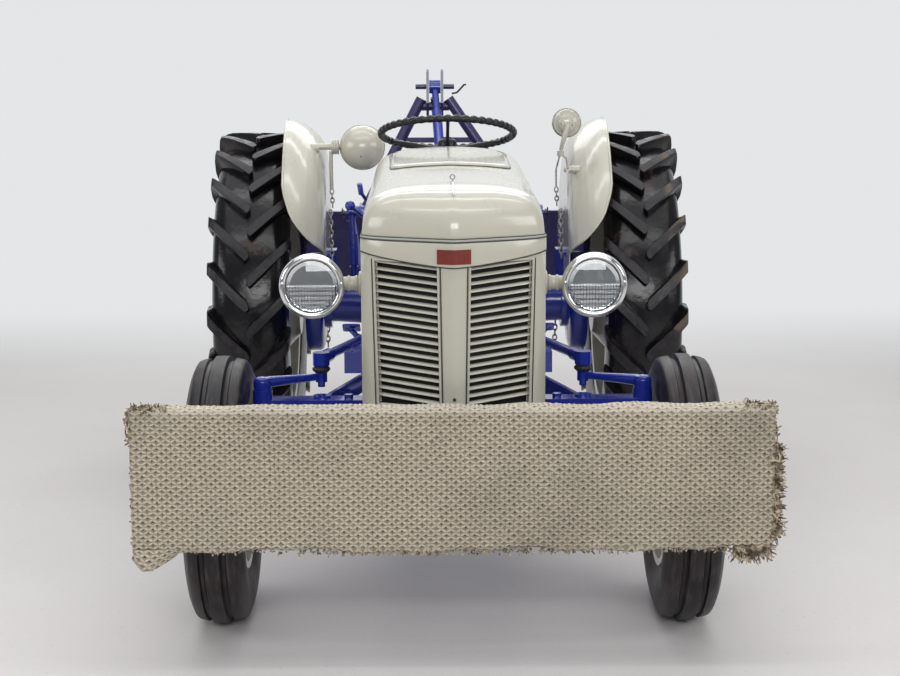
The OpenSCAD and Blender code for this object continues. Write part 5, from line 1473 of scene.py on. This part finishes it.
class TRACTOR_OT_wheels(bpy.types.Operator):
    """Wheel nuts, rim bolts and valve stems"""
    bl_idname = "tractor.wheels"
    bl_label = "Wheel fittings"

    def execute(self, context):
        for end, make in (("front", self.front), ("rear", self.rear)):
            left = make()
            for side, shape in (("left", left), ("right", left.mirrored())):
                piece(end + "_wheel_nuts_" + side, shape, [bright_steel(), rubber_boot()],
                      end + "_wheel_" + side, ())
        return {"FINISHED"}

    def front(self):
        """Left front wheel: six nuts and the valve stem."""
        b = Build()
        at = np.array([FRONT_X, 0, FRONT_R])
        for a in np.radians(np.arange(6) * 60.0):
            spot = at + [0.018, 0.074 * math.sin(a), 0.074 * math.cos(a)]
            join(b, hex_head(spot, [1, 0, 0], 0.021, 0.012))
        valve = [[0.030, 0.150, 0], [0.050, 0.158, 0], [0.064, 0.156, 0]]
        return join(b, tube(at + valve, 0.0038, 8), 1)

    def rear(self):
        """Left rear wheel: eight nuts, six pairs of rim bolts and the valve stem."""
        b = Build()
        at = np.array([REAR_X, REAR_Y, REAR_R])
        for a in np.radians(np.arange(8) * 45.0 + 22.5):
            spot = at + [-0.110, 0.078 * math.sin(a), 0.078 * math.cos(a)]
            join(b, hex_head(spot, [1, 0, 0], 0.024, 0.014))
        for a in np.radians(np.arange(6) * 60.0 + 30):
            c, q = math.cos(a), math.sin(a)
            for f in (-0.02, 0.02):
                spot = at + [-0.012, 0.303 * q + f * c, 0.303 * c - f * q]
                join(b, hex_head(spot, [1, 0, 0], 0.019, 0.010))
        valve = [[0.044, 0, -0.315], [0.060, 0, -0.300], [0.064, 0, -0.280]]
        return join(b, tube(at + valve, 0.0045, 8), 1)


class TRACTOR_OT_driving_place(bpy.types.Operator):
    """Steering wheel with finger grips, seat pan, dials, rubber boots and radiator hoses"""
    bl_idname = "tractor.driving_place"
    bl_label = "Driving place"

    def execute(self, context):
        self.steering()
        self.seat()
        self.dash()
        self.small()
        return {"FINISHED"}

    def steering(self):
        """Rim: a closed tube that swells between finger grips. Three spokes join it to a hub with a cap."""
        r = parts().wheel_r
        grips = 48
        tilt = turn("X", -math.radians(16))
        centre = np.array([0, parts().wheel_y, parts().wheel_z])
        a = np.linspace(0, 2 * np.pi, 288, endpoint=False)
        grip = 0.0112 + 0.0016 * np.cos(a * grips)
        rim = tube(np.stack([r * np.cos(a), r * np.sin(a), 0.0008 * np.cos(a * grips)], -1), grip, 12,
                   closed=True)
        shape = Build()
        join(shape, rim)
        hub = lathe([[POLE, -0.0617], [0.026, -0.0617], [0.028, -0.050], [0.031, -0.034], [0.031, -0.028],
                     [0.026, -0.022], [0.018, -0.020], [0.016, -0.014], [POLE, -0.012]], np.zeros(3),
                    [0, 0, 1.0], 40)
        join(shape, hub)
        spokes = Build()
        for k in range(3):
            q = math.radians(120 * k - 90)
            d = np.array([math.cos(q), math.sin(q), 0])
            path = [d * 0.020 + [0, 0, -0.046], d * 0.060 + [0, 0, -0.040], d * 0.140 + [0, 0, -0.018],
                    d * (r - 0.004) + [0, 0, -0.002]]
            join(spokes, tube(path, [0.008, 0.0062, 0.0055, 0.0062], 10))
        for part in (shape, spokes):
            part.points = [q @ tilt.T + centre for q in part.points]
        join(shape, spokes)
        piece("steering_wheel_rim", shape, [wheel_black()], "steering_wheel", ["steering_wheel"],
              50)

    def seat(self):
        """Seat pan: a dished shell on a square-to-round map, raised at the back and sides."""
        n = 41
        s = np.linspace(-1, 1, n)
        u, v = np.meshgrid(s, s, indexing="ij")
        w = 0.225 * np.where(v < 0, 0.86 + 0.14 * (1 + v), 1)
        x = w * u * np.sqrt(1 - v * v / 2)
        y = 1.640 + np.where(v > 0, 0.175, 0.190) * v * np.sqrt(1 - u * u / 2)
        e = np.maximum(np.abs(u), np.abs(v)) ** 3
        h = np.where(v > 0, 0.150 * np.abs(v) ** 2.2, 0.014 * v * v) + 0.034 * e * np.abs(u)
        h -= 0.014 * np.cos(np.pi * u) * (1 - v * v) * (0.7 - 0.3 * v)
        points = np.stack([x, y, 0.952 + h + 0.004], -1)
        shape = Build().add(points, grid(n, n))
        made = piece("seat_shell", shape, [cream_enamel()], "tractor", ["seat_pan"], 60)
        face_up(made.data, made.data.polygons[len(made.data.polygons) // 2])
        modifier(made, "SOLIDIFY", thickness=0.004, offset=-1)
        edge = points.reshape(-1, 3)[rim_of(n, n)] - [0, 0, 0.002]
        piece("seat_edge", tube(edge, 0.0045, 8, closed=True), [cream_enamel()], "tractor", ())

    def dash(self):
        """Two dials and a switch on the dash, facing the seat."""
        rim, face = Build(), Build()
        for x in (-0.095, 0.095):
            at = np.array([x, 0.9062, 1.120])
            join(rim,
                 lathe([[0.024, -0.004], [0.0315, -0.002], [0.0325, 0.003], [0.0300, 0.007], [0.0260, 0.007],
                        [0.0250, 0.003]], at, [0, 1.0, 0], 40))
            join(face,
                 lathe([[POLE, -0.010], [0.0262, -0.010], [0.0262, 0.0045], [POLE, 0.0052]], at, [0, 1.0, 0],
                       40))
        join(rim,
             lathe([[POLE, 0], [0.012, 0], [0.011, 0.016], [POLE, 0.018]], np.array([0, 0.9062, 1.060]),
                   [0, 1.0, 0], 24))
        piece("dash_rims", rim, [chrome_rim()], "tractor", (), 50)
        piece("dash_dials", face, [dial_face()], "tractor", (), 50)

    def small(self):
        """Rubber boots between steering arms and drag links, and hoses between radiator and engine."""
        for s, side in ((1, "left"), (-1, "right")):
            at = np.array([s * 0.359, 0.100, 0.6612])
            k = np.linspace(0, 1, 13)
            r = 0.0150 + 0.0100 * np.sin(np.pi * (0.15 + 0.7 * k)) ** 2
            profile = [[POLE, 0.0003]] + [[a, 0.0003 + 0.0200 * q] for q, a in zip(k, r)] + [[POLE, 0.0203]]
            piece("ball_boot_" + side, lathe(profile, at, [0, 0, 1.0], 28), [rubber_boot()],
                  "drag_link_" + side, (), 50)
        hoses = Build()
        top = [[0.0, 0.068, 1.045], [0.0, 0.110, 1.050], [0.0, 0.150, 1.020], [0.0, 0.186, 0.960],
               [0.0, 0.214, 0.915]]
        join(hoses, tube(self.curve(top, 16), 0.021, 16))
        low = [[0.120, 0.068, 0.670], [0.125, 0.100, 0.665], [0.122, 0.140, 0.672], [0.104, 0.188, 0.690]]
        join(hoses, tube(self.curve(low, 14), 0.019, 16))
        piece("radiator_hoses", hoses, [rubber_boot()], "tractor", (), 60)

    def curve(self, points, n):
        """A smooth line through points: cubic between them with slopes from their neighbours."""
        p = np.asarray(points, float)
        m = np.gradient(p, axis=0)
        t = np.linspace(0, len(p) - 1.000001, n)
        i = t.astype(int)
        f = (t - i)[:, None]
        h = [2 * f ** 3 - 3 * f ** 2 + 1, f ** 3 - 2 * f ** 2 + f, -2 * f ** 3 + 3 * f ** 2, f ** 3 - f ** 2]
        return h[0] * p[i] + h[1] * m[i] + h[2] * p[i + 1] + h[3] * m[i + 1]


class TRACTOR_OT_carpet(bpy.types.Operator):
    """Loop-pile carpet over the push board, with frayed edges and a hanging corner"""
    bl_idname = "tractor.carpet"
    bl_label = "Carpet"

    def execute(self, context):
        lo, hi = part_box("board_carpet")
        pile, corner, flat = self.wrap(lo, hi)
        self.fray(lo, hi)
        return {"FINISHED"}

    def wrap(self, lo, hi):
        """Carpet: s runs from the lower fold up the front and over the upper fold, and x across."""
        y0 = lo.y - AXLE_Y + 0.0040
        depth, h, r = hi.y - lo.y - 0.006, hi.z - lo.z, 0.017
        rows, columns, thick = 168, 470, 0.0060
        marks = np.cumsum([0, depth - r, np.pi / 2 * r, h - 2 * r, np.pi / 2 * r, depth - r])
        s = np.linspace(0, marks[-1], rows)
        x = np.linspace(lo.x + 0.004, hi.x - 0.017, columns)
        y = np.interp(s, marks, [y0 + depth, y0 + r, y0, y0, y0 + r, y0 + depth])
        z = np.interp(s, marks, [lo.z, lo.z, lo.z + r, hi.z - r, hi.z, hi.z])
        for start, z_mid, way in ((marks[1], lo.z + r, -1), (marks[3], hi.z - r, 1)):
            k = (s > start) & (s < start + np.pi / 2 * r)
            q = (s[k] - start) / r
            if way > 0:
                q = np.pi / 2 - q
            y[k] = y0 + r - r * np.sin(q)
            z[k] = z_mid + way * r * np.cos(q)
        d = np.stack([np.gradient(y, s), np.gradient(z, s)], -1)
        d /= np.linalg.norm(d, axis=1)[:, None]
        normal = np.stack([-d[:, 1], d[:, 0]], -1)
        ss, xx = np.meshgrid(s, x, indexing="ij")
        slack = 0.0022 * np.sin(xx * 7.0 + 1.0) * np.sin(ss * 13) + 0.0012 * np.sin(xx * 23 + ss * 9)
        rough = np.random.default_rng(3).normal(0, 0.0007, ss.shape)
        out = -0.0030 + 0.0019 * self.loops(xx, ss) + slack * 0.8 + rough
        below = (ss < marks[1] + 0.02) * (0.0045 * np.sin(xx * 11.0) + 0.003 * np.sin(xx * 37.0 + 1.0)
                                          - 0.001)
        above = (ss > marks[3] + 0.01) * 0.0018 * np.sin(xx * 27.0 + 2.0)
        points = np.stack([xx, y[:, None] + out * normal[:, None, 0],
                           z[:, None] + out * normal[:, None, 1] + below + above], -1)
        shape = Build().add(points, grid(rows, columns))
        inward = np.stack([np.zeros(rows), -normal[:, 0], -normal[:, 1]], -1)
        # The woven back is coarser: every fourth row and every sixth column
        sparse = np.s_[::4, ::6]
        back = (points + thick * inward[:, None])[sparse]
        shape.add(back, grid(*back.shape[:2], flip=True), 1)
        weave = np.stack([xx, ss], -1)
        weave = np.concatenate([weave.reshape(-1, 2), weave[sparse].reshape(-1, 2)])
        pile = self.cloth("carpet_pile", shape, weave, ["board_carpet"])
        return pile, self.corner(lo, y0), (float(x[-1] - x[0]), float(marks[-1]))

    def loops(self, x, s):
        """Height of the pile, 0 to 1: the same leaning loops as in the yarn's shader, without their drift."""
        p = parts()
        v = s / p.loop_h
        row = np.floor(v)
        u = x / p.loop_w + row
        a, b = u - np.floor(u) - 0.5, v - row - 0.5
        lean = np.where(np.floor(u) % 2 > 0, 1.0, -1.0)
        return np.sqrt(np.clip(1 - (a / 0.60) ** 2 - ((b - lean * a * 0.55) / 0.42) ** 2, 0, 1))

    def cloth(self, name, shape, weave, replaced=()):
        """Makes a piece of carpet with its weave map, front faces first."""
        made = piece(name, shape, [loop_yarn(), carpet_back()], "tractor", list(replaced), 0)
        mesh = made.data
        mesh.polygons.foreach_set("use_smooth", np.ones(len(mesh.polygons), bool))
        if mesh.polygons[len(shape.faces) // 3].normal.y > 0:
            mesh.flip_normals()
        layer = mesh.uv_layers.new(name="weave")
        index = np.empty(len(mesh.loops), np.int32)
        mesh.loops.foreach_get("vertex_index", index)
        layer.data.foreach_set("uv", weave[index].astype(np.float32).reshape(-1))
        return made

    def corner(self, lo, y0):
        """Hanging corner, lower left in the picture: a folded flap whose depth falls off to both ends."""
        x = np.linspace(lo.x + 0.006, lo.x + 0.118, 44)
        t = np.linspace(0, 1, 22)
        tt, xx = np.meshgrid(t, x, indexing="ij")
        k = (xx - lo.x - 0.006) / 0.112
        depth = 0.040 * np.minimum(1, k / 0.30 + 0.25) * np.clip((1.0 - k) / 0.55, 0, 1) ** 0.8
        z = lo.z + 0.012 - (0.012 + depth) * tt
        y = y0 - 0.001 - 0.010 * np.sin(tt * 2.2) * np.clip(1.2 - k, 0, 1) + 0.004 * np.sin(xx * 60)
        out = 0.003 * self.loops(xx, tt * 0.05)
        points = np.stack([xx + 0.003 * np.sin(tt * 5), y - out, z], -1)
        behind = points + [0, 0.0065, 0.0005]
        weave = np.stack([xx, -tt * 0.05], -1).reshape(-1, 2)
        shape = Build().add(points, grid(22, 44, flip=True)).add(behind, grid(22, 44), 1)
        return self.cloth("carpet_corner", shape, np.concatenate([weave, weave]))

    def fray(self, lo, hi):
        """Frayed yarn: curled strands along the torn edges, from seeded random numbers."""
        rng = np.random.default_rng(7)
        shape = Build()
        y_front = lo.y - AXLE_Y
        # Columns: x from and to, z from and to, how many strands, longest, which way they stand (x, z)
        patches = ((-0.797, -0.700, 0.674, 0.682, 90, 0.022, (0.5, 0.25)),
                   (-0.800, -0.786, 0.600, 0.680, 60, 0.020, (-0.5, 0)),
                   (-0.797, -0.790, 0.330, 0.600, 70, 0.010, (-0.3, -0.1)),
                   (0.700, 0.780, 0.672, 0.682, 70, 0.020, (0.3, 0.35)),
                   (0.772, 0.788, 0.350, 0.575, 420, 0.036, (0.75, -0.15)),
                   (0.776, 0.788, 0.575, 0.675, 60, 0.014, (0.4, -0.1)),
                   (0.690, 0.775, 0.312, 0.330, 200, 0.042, (0.15, -0.9)),
                   (-0.390, 0.300, 0.314, 0.324, 300, 0.011, (0, -0.8)),
                   (-0.660, -0.390, 0.316, 0.324, 50, 0.008, (0, -0.7)),
                   (0.300, 0.690, 0.315, 0.323, 110, 0.012, (0, -0.7)))
        for x0, x1, z0, z1, many, longest, lean in patches:
            for _ in range(many):
                start = np.array([rng.uniform(x0, x1), y_front + rng.uniform(0.006, 0.034),
                                  rng.uniform(z0, z1)])
                reach = rng.uniform(0.35, 1.0) * longest
                way = np.array([lean[0] + rng.normal(0, 0.5), rng.normal(0, 0.35),
                                lean[1] + rng.normal(0, 0.5)])
                way /= np.linalg.norm(way)
                side = np.cross(way, rng.normal(0, 1, 3))
                side /= np.linalg.norm(side)
                t = np.linspace(0, 1, 6)[:, None]
                curl = rng.uniform(0.15, 0.45) * reach
                path = start + way * t * reach + side * curl * np.sin(t * rng.uniform(2.5, 6.0))
                path = np.clip(path, [lo.x - 0.008, y_front + 0.001, lo.z - 0.048],
                               [hi.x + 0.022, hi.y - AXLE_Y - 0.001, hi.z + 0.012])
                path += np.linspace(0, 1e-4, 6)[:, None]
                join(shape, tube(path, rng.uniform(0.0012, 0.0024) * np.array([0.8, 1, 1.1, 1.1, 1, 0.6]), 5))
        return piece("carpet_fray", shape, [frayed_yarn()], "tractor", (), 60)


class TRACTOR_OT_chains(bpy.types.Operator):
    """Check chains, mudguard chains and linch pins"""
    bl_idname = "tractor.chains"
    bl_label = "Chains"

    def execute(self, context):
        shape = Build()
        for top, foot in (([-0.439, 1.865, 0.580], [-0.436, 1.865, 0.425]),
                          ([0.405, 1.865, 0.585], [0.400, 1.865, 0.425])):
            join(shape, self.chain(top, foot, 0.026))
        piece("check_chains", shape, [bright_steel()], "tractor", ())
        hang = Build()
        join(hang, self.chain([-0.399, 1.552, 1.040], [-0.396, 1.552, 0.972], 0.022))
        join(hang, self.chain([-0.408, 1.62, 0.960], [-0.404, 1.615, 0.775], 0.024))
        join(hang, tube([[0.386, 1.436, 1.160], [0.374, 1.446, 1.110], [0.375, 1.449, 1.050]], 0.0030, 8))
        join(hang, self.chain([0.375, 1.449, 1.052], [0.378, 1.450, 0.985], 0.022))
        join(hang, self.chain([0.392, 1.47, 0.975], [0.396, 1.47, 0.800], 0.024))
        piece("guard_chains", hang, [bright_steel()], "tractor", ())
        clips = Build()
        for s in (-1, 1):
            a = np.linspace(0.3, 2 * np.pi - 0.3, 22)
            at = np.array([s * 0.402, REAR_Y + 0.570, 0.872])
            ring = at + np.stack([0.002 * np.cos(a), 0.021 * np.sin(a), 0.021 * np.cos(a)], -1)
            join(clips, tube(ring, 0.0018, 8))
        at = np.array([0.030, REAR_Y + 0.600, 1.335])
        join(clips,
             tube([at, at + [0.020, 0.0, 0.004], at + [0.048, 0, 0.034], at + [0.056, 0, 0.034]], 0.0038, 10))
        piece("linch_pins", clips, [rubber_boot()], "blade", ())
        return {"FINISHED"}

    def chain(self, top, foot, link):
        """Links hung between two points: each is a closed oval tube, every other one turned a quarter."""
        top, foot = np.asarray(top, float), np.asarray(foot, float)
        total = np.linalg.norm(foot - top)
        count = int(total / (link * 0.72))
        d, u, v = frame_of(foot - top)
        a = np.linspace(0, 2 * np.pi, 14, endpoint=False)
        b = Build()
        for k in range(count):
            side = u if k % 2 else v
            c = top + d * (link * 0.5 + k * (total - link) / max(1, count - 1))
            path = c + np.cos(a)[:, None] * d * link * 0.5 * 0.92 + np.sin(a)[:, None] * side * link * 0.27
            join(b, tube(path, link * 0.105, 6, closed=True))
        return b


class TRACTOR_OT_studio(bpy.types.Operator):
    """Floor, backdrop, lamps and the camera at the photograph's viewing angle"""
    bl_idname = "tractor.studio"
    bl_label = "Studio"

    def execute(self, context):
        scene = context.scene
        self.floor()
        self.lamps(scene)
        self.camera(scene)
        scene.view_settings.view_transform = "Standard"
        return {"FINISHED"}

    def floor(self):
        """One sheet: flat floor, quarter-round sweep and wall, white to the camera and pale to the light."""
        a = np.linspace(0, np.pi / 2, 16)
        far, bend = 18.0, 2.5
        y = np.concatenate([[-far, far - bend], far - bend + bend * np.sin(a), [far]])
        z = np.concatenate([[0, 0], bend - bend * np.cos(a), [far]])
        x = np.array([-20.0, 20.0])
        points = np.stack([np.broadcast_to(x, (len(y), 2)), np.repeat(y[:, None], 2, 1),
                           np.repeat(z[:, None], 2, 1)], -1)
        n = Nodes("pale_floor")
        wear = n.noise(2.0, 4.0)
        speck = n.between(n.noise(60.0, 3.0), 0.60, 0.75)
        base = n.mix(wear, (0.66, 0.635, 0.62), (0.74, 0.72, 0.705))
        n.set(Base_Color=n.mix(speck * 0.25, base, (0.42, 0.40, 0.39)), Roughness=0.55 + wear * 0.2)
        self.brighten(n)
        mesh = bpy.data.meshes.new("studio_floor")
        mesh.from_pydata(points.reshape(-1, 3).tolist(), [], grid(len(y), 2, flip=True).tolist())
        mesh.materials.append(n.done())
        mesh.polygons.foreach_set("use_smooth", np.ones(len(mesh.polygons), bool))
        made = bpy.data.objects.new("studio_floor", mesh)
        bpy.context.scene.collection.objects.link(made)

    def brighten(self, n):
        """Far from the tractor the sheet fades to plain white for the camera and for reflections."""
        _, y, z = n.axes()
        far = n.between(y, 1.9, 4.6).larger(n.between(z, 0.02, 0.4))
        rays = n.node("LightPath", output="Is Camera Ray").larger(n.node("LightPath", output="Is Glossy Ray"))
        glow = n.node("Emission", {}, {"Color": (0.775, 0.79, 0.80), "Strength": 1.0})
        both = n.node("MixShader", {}, {0: far * rays, 1: Sock(n, n.shader.outputs[0]), 2: glow})
        n.put(n.out.inputs[0], both)

    def lamps(self, scene):
        """A dim sky, one wide roof light, three strips and four lights round the tractor."""
        world = bpy.data.worlds.new("studio_world")
        world.use_nodes = True
        sky = world.node_tree.nodes["Background"]
        sky.inputs[0].default_value = (0.92, 0.95, 1.0, 1)
        sky.inputs[1].default_value = 0.27
        scene.world = world
        # Columns: name, place, aim, width, depth, watts
        table = (("roof", (0, 0.2, 4.6), (0, 0.3, 0), 7.0, 8.0, 120),
                 ("strip_front", (0, -2.4, 4.4), (0, -1.0, 0), 5.0, 0.4, 26),
                 ("strip_middle", (0, 0.2, 4.4), (0, 0.3, 0), 5.0, 0.4, 26),
                 ("strip_rear", (0, 2.8, 4.4), (0, 1.5, 0), 5.0, 0.4, 26),
                 ("left_wall", (4.2, -2.6, 2.4), (0, 0, 0.8), 3.0, 1.6, 50),
                 ("right_wall", (-4.4, -2.0, 2.2), (0, 0.2, 0.8), 3.0, 1.6, 48),
                 ("front", (0.4, -6.5, 2.6), (0, 0, 0.7), 3.6, 1.2, 110),
                 ("rear", (0, 5.0, 3.6), (0, 1.0, 0.8), 4.0, 2.0, 45))
        for name, place, aim, width, depth, watts in table:
            light = bpy.data.lights.new(name, "AREA")
            light.shape = "RECTANGLE"
            light.size, light.size_y, light.energy = width, depth, watts
            made = bpy.data.objects.new(name, light)
            made.location = place
            made.rotation_euler = (Vector(aim) - Vector(place)).to_track_quat("-Z", "Y").to_euler()
            scene.collection.objects.link(made)

    def camera(self, scene):
        """Camera found by fitting the tractor's own points to the photograph."""
        spot = Vector((-0.0616, -4.9189 + AXLE_Y, 1.6040))
        yaw, pitch, roll = 0.01111, 0.16751, -0.0038
        focal_px, picture_px = 1860.27, 900
        ahead = Vector((math.sin(yaw) * math.cos(pitch), math.cos(yaw) * math.cos(pitch), -math.sin(pitch)))
        side = Vector((math.cos(yaw), -math.sin(yaw), 0))
        up = side.cross(ahead)
        side, up = side * math.cos(roll) + up * math.sin(roll), up * math.cos(roll) - side * math.sin(roll)
        data = bpy.data.cameras.new("camera")
        data.sensor_width, data.lens = 36.0, focal_px / picture_px * 36.0
        made = bpy.data.objects.new("camera", data)
        made.matrix_world = Matrix((side, up, -ahead)).transposed().to_4x4()
        made.location = spot
        scene.collection.objects.link(made)
        scene.camera = made


STEPS = (TRACTOR_OT_bonnet, TRACTOR_OT_grille, TRACTOR_OT_lamps, TRACTOR_OT_mudguards, TRACTOR_OT_tyres,
         TRACTOR_OT_castings, TRACTOR_OT_wheels, TRACTOR_OT_driving_place, TRACTOR_OT_carpet,
         TRACTOR_OT_chains, TRACTOR_OT_studio)


class TRACTOR_PT_panel(bpy.types.Panel):
    """Lists the steps in the sidebar"""
    bl_label = "Tractor"
    bl_idname = "TRACTOR_PT_panel"
    bl_space_type = "VIEW_3D"
    bl_region_type = "UI"
    bl_category = "Tractor"

    def draw(self, context):
        for step in STEPS:
            self.layout.operator(step.bl_idname)


GROUPS = ((TractorBody, "tractor_body"), (TractorParts, "tractor_parts"), (TractorColours, "tractor_colours"))


def register():
    for group, name in GROUPS:
        bpy.utils.register_class(group)
        setattr(bpy.types.Scene, name, bpy.props.PointerProperty(type=group))
    for step in STEPS:
        bpy.utils.register_class(step)
    bpy.utils.register_class(TRACTOR_PT_panel)


def unregister():
    bpy.utils.unregister_class(TRACTOR_PT_panel)
    for step in reversed(STEPS):
        bpy.utils.unregister_class(step)
    for group, name in reversed(GROUPS):
        delattr(bpy.types.Scene, name)
        bpy.utils.unregister_class(group)


def main():
    register()
    for step in STEPS:
        group, name = step.bl_idname.split(".")
        getattr(getattr(bpy.ops, group), name)()


if __name__ == "__main__":
    main()
